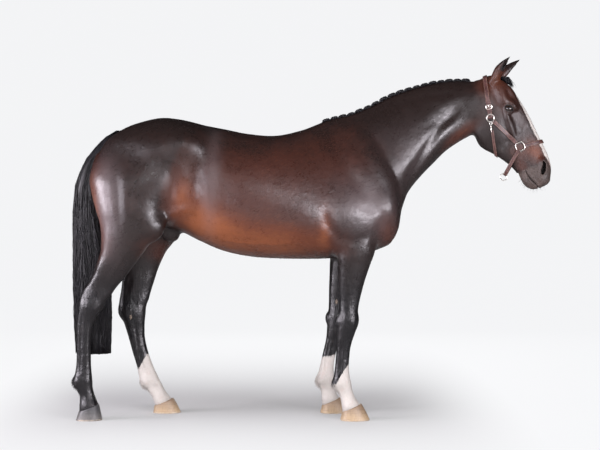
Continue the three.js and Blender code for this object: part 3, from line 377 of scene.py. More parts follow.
def smooth_rows(rows, samples=160):
    rows = np.array(rows, float)
    s, v = rows[:, 0], rows[:, 1:]
    m = np.zeros_like(v)
    m[1:-1] = (v[2:] - v[:-2]) / (s[2:] - s[:-2])[:, None]
    m[0], m[-1] = (v[1] - v[0]) / (s[1] - s[0]), (v[-1] - v[-2]) / (s[-1] - s[-2])
    t = np.linspace(s[0], s[-1], samples)
    i = np.clip(np.searchsorted(s, t, side="right") - 1, 0, len(s) - 2)
    h = (s[i + 1] - s[i])[:, None]
    x = ((t - s[i]) / (s[i + 1] - s[i]))[:, None]
    return s[0], s[-1], ((2 * x**3 - 3 * x**2 + 1) * v[i] + (x**3 - 2 * x**2 + x) * h * m[i]
                         + (3 * x**2 - 2 * x**3) * v[i + 1] + (x**3 - x**2) * h * m[i + 1])


def columns_at(table, place):
    """The other columns of a table where its first column has a value."""
    return [np.interp(place, table[:, 0], column) for column in table[:, 1:].T]


class Form:
    """A shape of the field with a box outside which it is left out."""
    fillet, join = 40, staticmethod(blend)

    def into(self, d, P):
        inside = ((P > self.box[0]) & (P < self.box[1])).all(1)
        if inside.any():
            d[inside] = self.join(d[inside], self.at(P[inside]), self.fillet)


class Relief(Form):
    """A form that is added to the field, to hollow it or to raise it."""
    join = staticmethod(lambda d, height, _: d + height)


class Loft(Form):
    """Sections [along, upper, lower, half width, taper, middle y, roundness] on a straight axis."""
    def __init__(self, x, z, pitch, rows, power=2.3, cap=(40, 40), side=BOTH, fillet=40):
        rows = [list(r) + [0] * (6 - len(r)) + [power] * (len(r) < 7) for r in rows]
        self.first, self.last, self.table = smooth_rows(rows)
        self.x, self.z, self.c, self.s = x, z, cos(pitch), sin(pitch)
        self.cap, self.side, self.fillet = cap, side, fillet
        ends = [(x + a * self.c - b * self.s, z + a * self.s + b * self.c)
                for r in rows for a in (r[0] - cap[0], r[0] + cap[1]) for b in (r[1], r[2])]
        wide = max(abs(r[3]) * 1.6 + r[5] for r in rows) + 140
        low, high = np.min(ends, 0) - 140, np.max(ends, 0) + 140
        ys = (-wide, wide) if side == BOTH else ((-wide, 140) if side < 0 else (-140, wide))
        self.box = np.array([[low[0], ys[0], low[1]], [high[0], ys[1], high[1]]])

    def at(self, P):
        dx, dz = P[:, 0] - self.x, P[:, 2] - self.z
        along, up = dx * self.c + dz * self.s, -dx * self.s + dz * self.c
        inside = np.clip(along, self.first, self.last)
        f = (inside - self.first) / (self.last - self.first) * (len(self.table) - 1)
        i = np.minimum(f.astype(int), len(self.table) - 2)
        w = (f - i)[:, None]
        high, low, width, taper, middle, p = (self.table[i] * (1 - w) + self.table[i + 1] * w).T
        half = (high - low) / 2
        u = up - (high + low) / 2
        v = side_of(P[:, 1], self.side) - middle
        over = along - inside
        width = width * (1 - taper * np.clip(u / half, -1.2, 1.2))
        q = (np.abs(u / half) ** p + np.abs(v / width) ** p) ** (1 / p)
        q = np.maximum(np.hypot(q, over / np.where(over < 0, self.cap[0], self.cap[1])), 1e-6)
        return np.sqrt(u * u + v * v + over * over) * (1 - 1 / q)


class Mound(Form):
    """An ellipsoid with radii along its own axis, across, and upward."""
    def __init__(self, at, radii, pitch=0, yaw=0, side=BOTH, fillet=40):
        p, w = radians(pitch), radians(yaw)
        ax = np.array([cos(p) * cos(w), sin(w), sin(p) * cos(w)])
        ay = np.cross([-sin(p), 0, cos(p)], ax)
        self.axes = np.array([ax, ay, np.cross(ax, ay)])
        self.centre, self.radii = np.array(at, float), np.array(radii)
        self.side, self.fillet = side, fillet
        reach = max(radii) + 2 * fillet + 20
        low, high = self.centre - reach, self.centre + reach
        if side == BOTH:
            low[1] = -high[1]
        elif side == RIGHT:
            low[1], high[1] = -high[1], -low[1]
        self.box = np.array([low, high])

    def at(self, P):
        Q = np.stack([P[:, 0], side_of(P[:, 1], self.side), P[:, 2]], 1) - self.centre
        L = Q @ self.axes.T
        q = np.maximum(np.sqrt(((L / self.radii) ** 2).sum(1)), 1e-6)
        return np.sqrt((L * L).sum(1)) * (1 - 1 / q)


class Crease(Relief):
    """A groove (depth > 0) or ridge along a path in the side view, some way from the middle."""
    def __init__(self, path, width, depth, side=BOTH, beyond=0, soft=30, ends=60):
        self.path, self.width, self.depth = np.array(path, float), width, depth
        self.side, self.beyond, self.soft = side, beyond, soft
        steps = np.hypot(*np.diff(self.path, axis=0).T)
        self.start = np.concatenate([[0], np.cumsum(steps)])
        self.ends = min(ends, self.start[-1] / 2)
        low, high = self.path.min(0) - 2.6 * width, self.path.max(0) + 2.6 * width
        self.box = np.array([[low[0], -400, low[1]], [high[0], 400, high[1]]])

    def at(self, P):
        y = side_of(P[:, 1], self.side)
        Q = P[:, [0, 2]]
        best, place = np.full(len(P), 1e12), np.zeros(len(P))
        for a, b, s in zip(self.path[:-1], self.path[1:], self.start):
            ab = b - a
            t = np.clip(((Q - a) @ ab) / (ab @ ab), 0, 1)
            d = ((Q - a - t[:, None] * ab) ** 2).sum(1)
            near = d < best
            best = np.where(near, d, best)
            place = np.where(near, s + t * sqrt(ab @ ab), place)
        e = np.clip(np.minimum(place, self.start[-1] - place) / self.ends, 0, 1)
        gate = smooth((y - self.beyond) / self.soft) * (y >= self.beyond)
        return self.depth * np.exp(-best / self.width**2) * gate * (0.85 * smooth(e) + 0.15 * e)


def face(s, u):
    """A place in the side view, from the head's own frame: s poll to lips, u jaw to forehead."""
    return POLL[0] + s * HC - u * HS, POLL[1] + s * HS + u * HC


def face3(s, u, y):
    x, z = face(s, u)
    return np.array([x, y, z], float)


s_way, u_way = np.array([HC, 0, HS]), np.array([-HS, 0, HC])     # down the face, to its forehead


def head_frame(P):
    x, z = P[:, 0] - POLL[0], P[:, 2] - POLL[1]
    return x * HC + z * HS, -x * HS + z * HC


def head_mound(s, u, y, rs, ru, ry, tilt=0, yaw=0, fillet=22):
    pitch = np.degrees(HEAD_PITCH) + tilt
    return Mound(face3(s, u, y), (rs, ry, ru), pitch=pitch, yaw=yaw, fillet=fillet)


def head_crease(path, width, depth, **options):
    return Crease([face(s, u) for s, u in path], width, depth, **options)


class Dent(Relief):
    """A smooth hollow in the side of the head, with a centre and radii in s and u."""
    def __init__(self, s, u, rs, ru, depth, tilt=0, beyond=20, soft=20):
        self.s, self.u, self.rs, self.ru, self.depth = s, u, rs, ru, depth
        self.c, self.n = cos(radians(tilt)), sin(radians(tilt))
        self.beyond, self.soft = beyond, soft
        x, z = face(s, u)
        r = 2.6 * max(rs, ru)
        self.box = np.array([[x - r, -300, z - r], [x + r, 300, z + r]])

    def at(self, P):
        s, u = head_frame(P)
        a, b = s - self.s, u - self.u
        gate = smooth((np.abs(P[:, 1]) - self.beyond) / self.soft)
        return self.depth * gate * np.exp(-((a * self.c + b * self.n) / self.rs) ** 2
                                          - ((b * self.c - a * self.n) / self.ru) ** 2)


def turn_at(x):
    return HEAD_TURN * smooth((np.asarray(x, float) - TURN_FROM) / TURN_SPAN)


def unturn(P):
    """Straight-necked places of the points of the horse whose head is turned."""
    a, dx = turn_at(P[:, 0]), P[:, 0] - TURN_X
    return np.stack([TURN_X + dx * np.cos(a) - P[:, 1] * np.sin(a),
                     dx * np.sin(a) + P[:, 1] * np.cos(a), P[:, 2]], 1)


def turned(P):
    """The way back, for places on the head."""
    P = np.atleast_2d(np.asarray(P, float))
    dx, c, s = P[:, 0] - TURN_X, cos(HEAD_TURN), sin(HEAD_TURN)
    return np.stack([TURN_X + dx * c + P[:, 1] * s, -dx * s + P[:, 1] * c, P[:, 2]], 1)


def turned_way(way):
    (x, y, z), c, s = np.transpose(way), cos(HEAD_TURN), sin(HEAD_TURN)
    return np.stack([x * c + y * s, -x * s + y * c, z], -1)


# %% Trunk, neck, head and legs
TRUNK = Loft(0, 0, 0, power=2.2, cap=(40, 36), rows=[
    [-1195, 1500, 1290, 96, 0], [-1150, 1566, 1200, 160, 0.06], [-1050, 1622, 1110, 215, 0.06],
    [-940, 1655, 1080, 246, 0.04, 0, 2.25], [-840, 1676, 1070, 262, 0.02, 0, 2.35],
    [-740, 1668, 1045, 266, 0.02, 0, 2.45], [-640, 1652, 996, 264, 0.04, 0, 2.45],
    [-500, 1626, 936, 280, 0.08, 0, 2.3], [-350, 1597, 903, 304, 0.06],
    [-200, 1588, 892, 314, 0.08], [-60, 1617, 889, 300, 0.20], [60, 1658, 890, 272, 0.36],
    [160, 1670, 896, 250, 0.44], [260, 1650, 910, 230, 0.44], [360, 1580, 936, 206, 0.36],
    [440, 1470, 985, 172, 0.20], [470, 1370, 1060, 130, 0.1]])
NECK = Loft(350, 1380, radians(33), power=2.1, cap=(60, 40), fillet=55, rows=[
    [-160, 358, -290, 200, 0.40], [-60, 370, -284, 186, 0.42], [40, 350, -236, 162, 0.44],
    [120, 334, -196, 144, 0.46], [210, 320, -167, 126, 0.46], [310, 310, -144, 110, 0.44],
    [410, 287, -124, 98, 0.40], [510, 256, -122, 90, 0.32], [600, 220, -128, 87, 0.22],
    [690, 170, -126, 86, 0.12], [760, 118, -90, 80, 0.05]])
HEAD = Loft(*POLL, HEAD_PITCH, power=2.5, cap=(44, 24), fillet=30, rows=[
    [20, 40, -118, 52, -0.02], [55, 60, -134, 66, -0.04], [100, 80, -156, 74, -0.06],
    [155, 88, -192, 77, -0.04], [200, 93, -214, 72, 0.02], [260, 98, -226, 64, 0.08],
    [325, 99, -220, 57, 0.14], [395, 98, -172, 52, 0.16], [460, 99, -134, 48, 0.12],
    [520, 98, -110, 48, 0.04], [575, 89, -100, 49, 0.02], [620, 72, -90, 48, 0.02],
    [652, 46, -70, 42, 0]])


def leg(side, fillet, rows):
    """A leg from rows of [height, middle x, middle y, half depth, half width, taper forward]."""
    sections = [[LEG_TOP - z, x + depth, x - depth, width, taper, y]
                for z, x, y, depth, width, taper in rows]
    form = Loft(0, LEG_TOP, -pi / 2, sections, cap=(60, 10), side=side, fillet=fillet)
    form.rows = np.array(rows[::-1])
    return form


LEGS = dict(
    fore_right=leg(RIGHT, 45, [
        [1120, 300, 165, 105, 70, 0], [1010, 258, 168, 112, 74, 0], [930, 246, 167, 104, 73, 0.05],
        [869, 236, 163, 92, 65, 0.08], [790, 224, 158, 77, 55, 0.08], [730, 216, 154, 68, 48, 0.06],
        [660, 209, 150, 58, 43, 0], [600, 203, 148, 55, 46, -0.05], [560, 200, 147, 57, 49, -0.10],
        [519, 196, 147, 57, 49, -0.12], [480, 190, 146, 51, 43, -0.10], [440, 183, 146, 44, 35, 0],
        [400, 177, 145, 40, 30, 0], [350, 172, 144, 39, 28, 0], [291, 168, 143, 40, 29, 0],
        [240, 167, 142, 46, 34, 0], [205, 170, 142, 51, 39, 0], [170, 181, 142, 46, 36, 0],
        [141, 194, 142, 42, 34, 0], [110, 207, 142, 46, 39, 0], [80, 219, 142, 54, 48, 0],
        [40, 232, 142, 60, 50, 0]]),
    fore_left=leg(LEFT, 45, [
        [1120, 275, 165, 105, 70, 0], [1010, 232, 168, 112, 74, 0], [930, 214, 167, 104, 73, 0.05],
        [862, 198, 163, 92, 65, 0.08], [790, 181, 158, 77, 55, 0.08], [718, 168, 154, 67, 48, 0.06],
        [650, 158, 150, 58, 43, 0], [594, 153, 148, 55, 46, -0.05], [552, 150, 147, 57, 49, -0.10],
        [510, 147, 147, 57, 49, -0.12], [465, 139, 146, 51, 43, -0.10], [424, 128, 146, 44, 35, 0],
        [380, 115, 145, 40, 30, 0], [335, 103, 144, 39, 28, 0], [275, 91, 143, 40, 29, 0],
        [228, 85, 142, 46, 34, 0], [190, 83, 142, 51, 39, 0], [155, 88, 142, 46, 36, 0],
        [128, 96, 142, 42, 34, 0], [102, 104, 142, 46, 39, 0], [76, 112, 142, 54, 48, 0],
        [40, 124, 142, 60, 50, 0]]),
    hind_right=leg(RIGHT, 75, [
        [1530, -940, 100, 120, 62, 0], [1480, -955, 106, 185, 98, 0],
        [1410, -982, 114, 232, 134, 0], [1340, -1000, 120, 238, 153, 0],
        [1250, -1006, 128, 218, 156, 0], [1160, -1006, 140, 192, 148, 0.03],
        [1090, -1004, 152, 172, 130, 0.05], [1010, -1024, 165, 144, 104, 0.06],
        [935, -1050, 170, 122, 80, 0.08], [860, -1092, 166, 108, 62, 0.10],
        [790, -1136, 159, 98, 48, 0.10], [740, -1172, 154, 90, 41, 0.05],
        [703, -1194, 152, 86, 41, 0], [664, -1214, 150, 74, 42, -0.05],
        [618, -1230, 149, 67, 43, -0.05], [575, -1249, 148, 54, 37, 0],
        [530, -1261, 147, 46, 32, 0], [470, -1266, 146, 42, 30, 0], [402, -1267, 145, 41, 29, 0],
        [310, -1268, 144, 42, 29, 0], [255, -1270, 143, 48, 34, 0], [218, -1272, 142, 53, 39, 0],
        [180, -1264, 142, 47, 36, 0], [140, -1250, 142, 43, 34, 0], [110, -1243, 142, 48, 40, 0],
        [80, -1238, 142, 55, 47, 0], [40, -1232, 142, 60, 49, 0]]),
    hind_left=leg(LEFT, 75, [
        [1530, -940, 100, 120, 62, 0], [1480, -955, 106, 185, 98, 0],
        [1410, -982, 114, 232, 134, 0], [1340, -998, 120, 238, 153, 0],
        [1250, -998, 128, 220, 156, 0], [1160, -985, 140, 200, 148, 0.03],
        [1070, -960, 154, 170, 126, 0.05], [980, -950, 166, 140, 98, 0.06],
        [900, -968, 169, 118, 75, 0.08], [830, -985, 165, 104, 59, 0.10],
        [758, -998, 158, 94, 48, 0.10], [700, -1010, 154, 88, 41, 0.05],
        [655, -1020, 152, 86, 41, 0], [614, -1029, 150, 80, 42, -0.05],
        [565, -1028, 149, 74, 43, -0.05], [525, -1021, 148, 63, 39, 0],
        [480, -1014, 147, 55, 33, 0], [430, -1005, 146, 48, 30, 0], [350, -985, 145, 46, 29, 0],
        [268, -958, 144, 48, 30, 0], [215, -940, 143, 54, 35, 0], [178, -925, 142, 58, 39, 0],
        [140, -900, 142, 52, 36, 0], [105, -876, 142, 50, 39, 0], [74, -855, 142, 56, 46, 0],
        [36, -836, 142, 60, 48, 0]]))
print("legs:", ", ".join(LEGS))

# %% Muscles and bones under the skin
MUSCLES = [
    Mound([-850, 90, 1515], [270, 158, 144], pitch=4, fillet=80),                # croup
    Mound([-676, 172, 1530], [92, 72, 66], pitch=-30, fillet=90),                # point of hip
    Mound([290, 118, 1400], [280, 70, 130], pitch=-58, yaw=14, fillet=70),       # shoulder blade
    Mound([215, 182, 1150], [140, 68, 160], pitch=15, fillet=60),                # triceps
    Mound([392, 165, 1175], [84, 68, 100], fillet=55),                           # point of shoulder
    Mound([412, 84, 1085], [74, 80, 105], fillet=55),                            # breast
    Mound([120, 168, 1040], [100, 58, 80], pitch=20, fillet=50),                 # elbow
    Mound([-872, 214, 1075], [62, 44, 78], pitch=-20, side=RIGHT, fillet=70),    # stifles
    Mound([-838, 214, 1050], [62, 44, 78], pitch=-20, side=LEFT, fillet=70)]
SHEATH = Mound([-812, 0, 1040], [70, 42, 48], pitch=-30, fillet=50)


def knee_bones(side, x, z):
    return [Mound([x - 46, 150, z - 8], [20, 20, 30], side=side, fillet=24),
            Mound([x + 16, 148, z], [42, 45, 48], side=side, fillet=30)]


def hock_bones(side, x, z):
    return [Mound([x - 4, 150, z - 58], [56, 42, 48], side=side, fillet=34)]


def fetlock_bones(side, x, z):
    return [Mound([x - 26, 142, z - 4], [28, 34, 34], pitch=-25, side=side, fillet=26)]


JOINT_BONES = (hock_bones(RIGHT, -1226, 700) + hock_bones(LEFT, -1046, 640)
               + knee_bones(RIGHT, 198, 560) + knee_bones(LEFT, 148, 552)
               + fetlock_bones(RIGHT, 170, 205) + fetlock_bones(LEFT, 83, 190)
               + fetlock_bones(RIGHT, -1272, 218) + fetlock_bones(LEFT, -925, 180))
HEAD_FORMS = [
    head_mound(225, -108, 42, 122, 108, 38, fillet=34),              # jowl
    head_mound(150, 14, 56, 74, 30, 34, fillet=28),                  # bar of bone behind the eye
    head_mound(192, 44, 56, 40, 20, 32, tilt=8),                     # brow
    head_mound(226, -8, 58, 42, 17, 28, tilt=-10),                   # rim under the eye
    head_mound(295, -18, 51, 66, 15, 20, tilt=-6, yaw=-7, fillet=36),           # crest of the cheek
    head_mound(86, 18, 42, 60, 34, 34, fillet=34),                   # temple
    head_mound(575, 50, 28, 54, 28, 32, tilt=-8),                    # wing of the nostril
    head_mound(630, 14, 12, 40, 40, 42),                             # upper lip
    head_mound(612, -62, 10, 46, 32, 36, fillet=20)]                 # chin
print("muscles and bones:", len(MUSCLES), "on the body,", len(HEAD_FORMS), "on the head")

# %% Grooves, hollows and tendons
def tendon(side, path):
    return Crease(path, 7, 5, side=side, beyond=60, ends=50)


def hock_hollow(side, x, z, lean):
    path = [[x + lean, z + 150], [x + 10, z + 60], [x + 18, z + 6]]
    return Crease(path, 15, 9, side=side, beyond=60)


GROOVES = [   # path, width, depth, beyond, soft, ends
    ([[-745, 1440], [-768, 1330], [-800, 1210], [-855, 1060]], 40, 12, 120, 80, 110),
    ([[-625, 1460], [-650, 1380], [-690, 1290], [-730, 1210]], 60, 12, 120, 80, 110),
    ([[-1075, 1420], [-1066, 1300], [-1056, 1180], [-1052, 1030]], 24, 7, 90, 60, 120),
    ([[-500, 1540], [-548, 1416], [-572, 1251], [-552, 1086], [-515, 990]], 46, -6, 120, 60, 120),
    ([[-820, 1105], [-760, 1140], [-690, 1165], [-600, 1150]], 30, -12, 100, 70, 90),
    ([[310, 1640], [372, 1540], [430, 1420], [486, 1300], [482, 1190]], 28, 10, 70, 60, 100),
    ([[215, 1600], [295, 1450], [370, 1315], [415, 1230]], 24, 4, 80, 60, 140),
    ([[120, 1560], [175, 1420], [250, 1300], [320, 1210]], 34, 5, 80, 60, 140),
    ([[66, 1200], [80, 1100], [144, 1018], [220, 996], [297, 1020], [345, 1085]], 24, 9, 120, 50,
     110), ([[330, 930], [352, 1032], [392, 1110], [415, 1170]], 26, 8, 90, 50, 80),
    ([[850, 1735], [717, 1632], [633, 1502], [560, 1380], [512, 1262]], 24, 10, 20, 40, 110),
    ([[862, 1832], [665, 1813], [497, 1768], [328, 1712], [190, 1655]], 22, 5, 10, 30, 120),
    ([[900, 1770], [744, 1695], [610, 1600]], 34, 7, 20, 40, 110),
    ([[700, 1740], [560, 1640], [450, 1500]], 60, -5, 20, 40, 110)]
CREASES = [
    *(Crease(*row, beyond=beyond, soft=soft, ends=ends) for *row, beyond, soft, ends in GROOVES),
    hock_hollow(RIGHT, -1250, 715, 70), hock_hollow(LEFT, -1066, 655, 36),
    tendon(RIGHT, [[169, 450], [161, 345], [157, 240]]),
    tendon(LEFT, [[111, 440], [89, 332], [75, 225]]),
    tendon(RIGHT, [[-1272, 600], [-1280, 430], [-1282, 260]]),
    tendon(LEFT, [[-1023, 560], [-997, 388], [-955, 215]]), Dent(124, 54, 34, 18, 10, beyond=40),
    Dent(EYE["s"], EYE["u"], 32, 22, 10, beyond=50),
    Dent(583, 44, 34, 11, 12, tilt=-27, beyond=18, soft=14),
    head_crease([[300, 26], [380, 30], [470, 28]], 26, 6, beyond=20, soft=20, ends=50),
    head_crease([[240, -42], [300, -48], [350, -54]], 18, 5, beyond=40, soft=20, ends=40),
    head_crease([[357, -44], [382, -85], [400, -130]], 20, 6, beyond=25, soft=20, ends=30),
    head_crease([[540, -104], [565, -76]], 16, 6, beyond=-40, soft=20, ends=10)]
# finer relief that only the skin has: veins of the face and legs, wrinkles of the lips
RELIEF = [
    head_crease([[300, 70], [345, 30], [400, 8], [470, 24]], 5, -1.6, beyond=25, soft=10, ends=40),
    head_crease([[345, 30], [372, -30], [380, -70]], 5, -1.6, beyond=25, soft=10, ends=30),
    head_crease([[540, -20], [556, 4], [562, 30]], 5, 1.6, beyond=25, soft=10, ends=20),
    head_crease([[556, -28], [574, -8], [580, 12]], 5, 1.6, beyond=25, soft=10, ends=20),
    Crease([[140, 960], [180, 860], [196, 740], [190, 640]], 7, -2.5, side=RIGHT, beyond=60,
           ends=60),
    Crease([[-900, 1090], [-1000, 960], [-1090, 830], [-1150, 740]], 8, -3, side=RIGHT, beyond=60,
           ends=70),
    Crease([[-540, 1010], [-380, 985], [-200, 978], [-40, 990]], 12, -3, beyond=100, ends=120)]
print("grooves and dents:", len(CREASES), "and", len(RELIEF), "finer ones")

# %% [markdown]
# ## Eyes, nostrils, mouth and ears
# These small forms carry the whole expression. Each lid is a shell a few millimetres thick over
# the eyeball, with an almond cut through it. The nostril is a comma-shaped hole with a soft rim,
# the lips close on a thin line, and each ear is a leaf rolled into a cup. They are cut into the
# same field, so the skin runs into them without a break.

# %% Lids, nostrils, lips
LID = dict(thick=5.8, half=20.5, upper=11.0, lower=7.5, tilt=radians(38))
EYE_AT = face3(EYE["s"], EYE["u"], EYE["y"])


lid_c, lid_s = cos(LID["tilt"]), sin(LID["tilt"])
a_way, b_way = s_way * lid_c + u_way * lid_s, u_way * lid_c - s_way * lid_s


def eye_frame(P):
    """Coordinates in the opening of the eye: to its front corner, to the brow, outward."""
    s, u = head_frame(P)
    s, u = s - EYE["s"], u - EYE["u"]
    return s * lid_c + u * lid_s, u * lid_c - s * lid_s, np.abs(P[:, 1]) - EYE["y"]


def almond(a, b, half, upper, lower):
    arch = np.maximum(1 - (a / half) ** 2, -0.6)
    return np.maximum(b - upper * arch, -lower * arch - b) * 0.75


def with_eyes(d, P):
    a, b, out = eye_frame(P)
    r = np.sqrt(a * a + b * b + out * out)
    lid = r - (EYE["radius"] + LID["thick"])
    d = blend(d, lid, 12)
    fold = np.hypot(a / 1.35, np.maximum(b, -40) / 0.96)               # ellipses round the opening
    above = smooth(b / 8)
    for depth, where, radius, width in ((1.9, above, 19.5, 2.0), (1.3, smooth(-b / 8), 17.5, 1.8),
                                        (1.3, above, 26, 2.4)):
        d = d + depth * where * np.exp(-((fold - radius) / width) ** 2) * (out > 0)
    opening = np.maximum(almond(a, b, LID["half"], LID["upper"], LID["lower"]), 2 - out)
    return carve(d, opening, 2.2)


NOSTRIL = np.array([[553, 58], [566, 57], [580, 49], [594, 38], [605, 27]], float)
NOSTRIL_WIDE = (3.0, 4.5, 6.5, 8.5, 7.5)


def with_nostrils(d, P):
    s, u = head_frame(P)
    y = np.abs(P[:, 1])
    best = np.full(len(P), 1e3)
    for (p, q, w0, w1) in zip(NOSTRIL[:-1], NOSTRIL[1:], NOSTRIL_WIDE[:-1], NOSTRIL_WIDE[1:]):
        pq = q - p
        t = np.clip(((s - p[0]) * pq[0] + (u - p[1]) * pq[1]) / (pq @ pq), 0, 1)
        d_pq = np.hypot(s - p[0] - t * pq[0], u - p[1] - t * pq[1]) - (w0 + (w1 - w0) * t)
        best = blend(best, d_pq, 7)
    outside = smooth((y - 20) / 10)
    d = d - 3.4 * outside * np.exp(-((best - 6.5) / 5.5) ** 2)              # the rim stands up
    return carve(d, np.maximum(best, (16 - y) * 0.8), 5)


MOUTH = np.array([[552, -53], [575, -52], [600, -49], [625, -42], [648, -35], [700, -27]], float)


def above_mouth(s, u):
    """Height above the line of the lips."""
    return u - columns_at(MOUTH, s)[0]


def with_mouth(d, P):
    s, u = head_frame(P)
    off = above_mouth(s, u)
    along = smooth((s - 546) / 14)
    d = d + 6.5 * along * np.exp(-(off / 3.4) ** 2)
    d = d - 2.6 * along * (np.exp(-((off - 10) / 6) ** 2) + 0.7 * np.exp(-((off + 10) / 6) ** 2))
    corner = np.hypot(s - 548, u + 54)
    return d + 3.5 * np.exp(-(corner / 6) ** 2)


print("middle of the eye, in mm:", np.round(EYE_AT, 1))


# %% Ears
EAR_ROWS = np.array([[0, 31, 29], [0.16, 31, 28], [0.34, 32, 26], [0.54, 29, 21], [0.75, 20, 14],
                     [0.92, 8, 7], [1, 2.5, 2.5]], float)
EAR_SLIT = 1953                                  # height of the lowest point of the opening
EARS = {
    "ear_right": dict(side=RIGHT, root=(16, 26, 50), tip=(-53, 143, 80), facing=(0.80, 0.42)),
    "ear_left": dict(side=LEFT, root=(22, 34, 50), tip=(-29, 188, 78), facing=(0.8, 0.48))}
for spec in EARS.values():
    (rs, ru, ry), (ts, tu, ty), side = spec["root"], spec["tip"], spec["side"]
    start, end = turned(face3(rs, ru, side * ry))[0], turned(face3(ts, tu, side * ty))[0]
    spec["from"], spec["length"] = start, np.linalg.norm(end - start)
    spec["axis"] = (end - start) / spec["length"]
    way = turned_way(np.array([spec["facing"][0], side * spec["facing"][1], 0]))
    way = way - (way @ spec["axis"]) * spec["axis"]
    spec["open"] = way / np.linalg.norm(way)
    spec["across"] = np.cross(spec["axis"], spec["open"])
    spec["slit"] = (EAR_SLIT - start[2]) / (spec["axis"][2] * spec["length"])
    print("ear opens from", round(spec["slit"], 2), "of its length")
EAR_WALL = 5.6


def ear_frame(P, spec):
    """Place up the ear 0..1, across it, and towards its open side."""
    Q = P - spec["from"]
    t = (Q @ spec["axis"]) / spec["length"]
    w = Q @ spec["open"] + 10 * np.sin(pi * np.clip(t, 0, 1))
    return t, Q @ spec["across"], w


def ear_field(P, spec):
    """A leaf rolled into a cup: a wall of even thickness round an oval, open in front."""
    t, v, w = ear_frame(P, spec)
    k = np.clip(t, 0, 1)
    wide, deep = columns_at(EAR_ROWS, k)
    over = (t - k) * spec["length"]
    wall = EAR_WALL * (1 - 0.12 * k)
    front = 0.62 * deep
    a = np.maximum(wide - wall / 2, 0.5)
    b = np.maximum(np.where(w < 0, deep, front) - wall / 2, 0.5)
    q = np.maximum(np.sqrt((v / a) ** 2 + (w / b) ** 2), 1e-6)
    oval = np.hypot(v, w) * (1 - 1 / q)
    leaf = np.abs(oval) - wall / 2
    gape = wide * (0.9 * smooth((t - spec["slit"]) / 0.42) - 0.04)      # the slit widens upward
    leaf = carve(leaf, np.maximum(0.05 * deep - w, np.abs(v) - gape), 4)
    full = np.maximum(oval - wall / 2, (t - spec["slit"] - 0.01) * spec["length"] + 0.1 * w)
    leaf = blend(leaf, full, 6)
    past_tip = np.hypot(np.maximum(leaf, 0), over) - 1.0
    return np.where(over > 0, past_tip, np.maximum(leaf, -over - 40))


EAR_BOX = 130


def with_ears(d, turned_points):
    for spec in EARS.values():
        middle = spec["from"] + 0.5 * spec["length"] * spec["axis"]
        near = (np.abs(turned_points - middle) < EAR_BOX).all(1)
        if near.any():
            d[near] = blend(d[near], ear_field(turned_points[near], spec), 12)
    return d


# %% Hooves: ground outline from heel to toe, and the slanting coronet above it
HOOVES = dict(
    fore_right=dict(side=RIGHT, heel=158, toe=324, half=64, front=(276, 92), back=(168, 48)),
    fore_left=dict(side=LEFT, heel=50, toe=214, half=64, front=(166, 88), back=(62, 44)),
    hind_right=dict(side=RIGHT, heel=-1312, toe=-1164, half=58, front=(-1184, 90), back=(-1296, 48)),
    hind_left=dict(side=LEFT, heel=-910, toe=-750, half=58, front=(-794, 84), back=(-904, 40)))
HOOF_Y = 142


def coronet_height(spec, x):
    (x1, z1), (x0, z0) = spec["front"], spec["back"]
    return z0 + (x - x0) * (z1 - z0) / (x1 - x0)


def with_hoof_ends(d, P):
    """Ends each leg a little way down inside its hoof."""
    low = P[:, 2] < 130
    for spec in HOOVES.values():
        x0, x1 = spec["heel"] - 60, spec["toe"] + 60
        here = low & (P[:, 1] * spec["side"] > 0) & (P[:, 0] > x0) & (P[:, 0] < x1)
        if here.any():
            under = coronet_height(spec, P[here, 0]) - 9 - P[here, 2]
            d[here] = carve(d[here], -under * 0.92, 8)
    return d


print("hooves:", ", ".join(HOOVES))


# %% The whole field
def body(P, fine=True):
    Q = unturn(P)
    d = np.full(len(Q), 400.0)
    for form in [TRUNK, *MUSCLES, *LEGS.values(), *JOINT_BONES, NECK]:
        form.into(d, Q)
    face_side = Q[:, 0] > 760
    if face_side.any():
        H = Q[face_side]
        h = HEAD.at(H)
        for form in HEAD_FORMS:
            form.into(h, H)
        d[face_side] = blend(d[face_side], h, HEAD.fillet)
    for form in [SHEATH, *CREASES, *(RELIEF if fine else [])]:
        form.into(d, Q)
    if not fine:
        return d
    s, u = head_frame(Q)
    near_eye = (np.abs(s - EYE["s"]) < 60) & (np.abs(u - EYE["u"]) < 50) & (np.abs(Q[:, 1]) > 20)
    muzzle = (s > 520) & (np.abs(u) < 160) & face_side
    if near_eye.any():
        d[near_eye] = with_eyes(d[near_eye], Q[near_eye])
    if muzzle.any():
        d[muzzle] = with_mouth(with_nostrils(d[muzzle], Q[muzzle]), Q[muzzle])
    return d


print("forms:", 3 + len(LEGS) + len(MUSCLES) + len(JOINT_BONES) + len(HEAD_FORMS), "grooves:",
      len(CREASES) + len(RELIEF))

# %% [markdown]
# ## One skin
# The skin is meshed from the field with surface nets: one vertex in each small cube that the
# surface crosses. The trunk takes large cubes, the lower legs smaller ones and the head the
# smallest, and the three meshes are sewn together along rings, where both have the same outline.
# The lids, nostrils and lips are then divided once more. Every vertex is moved onto the field's
# surface, a coat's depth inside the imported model.

# %% Surface nets
COAT = 2.0            # depth of the coat
CUBES = ((0, 0, 0), (1, 0, 0), (0, 1, 0), (1, 1, 0), (0, 0, 1), (1, 0, 1), (0, 1, 1), (1, 1, 1))


def skin_field(P):
    """The field of the skin, a coat's depth under the outline, with the ears and hoof ends."""
    return with_hoof_ends(with_ears(body(P) + COAT, P), P)


def measured(P, batch=100000):
    """The skin's field at very many places, some at a time."""
    return np.concatenate([skin_field(P[i:i + batch]) for i in range(0, len(P), batch)])


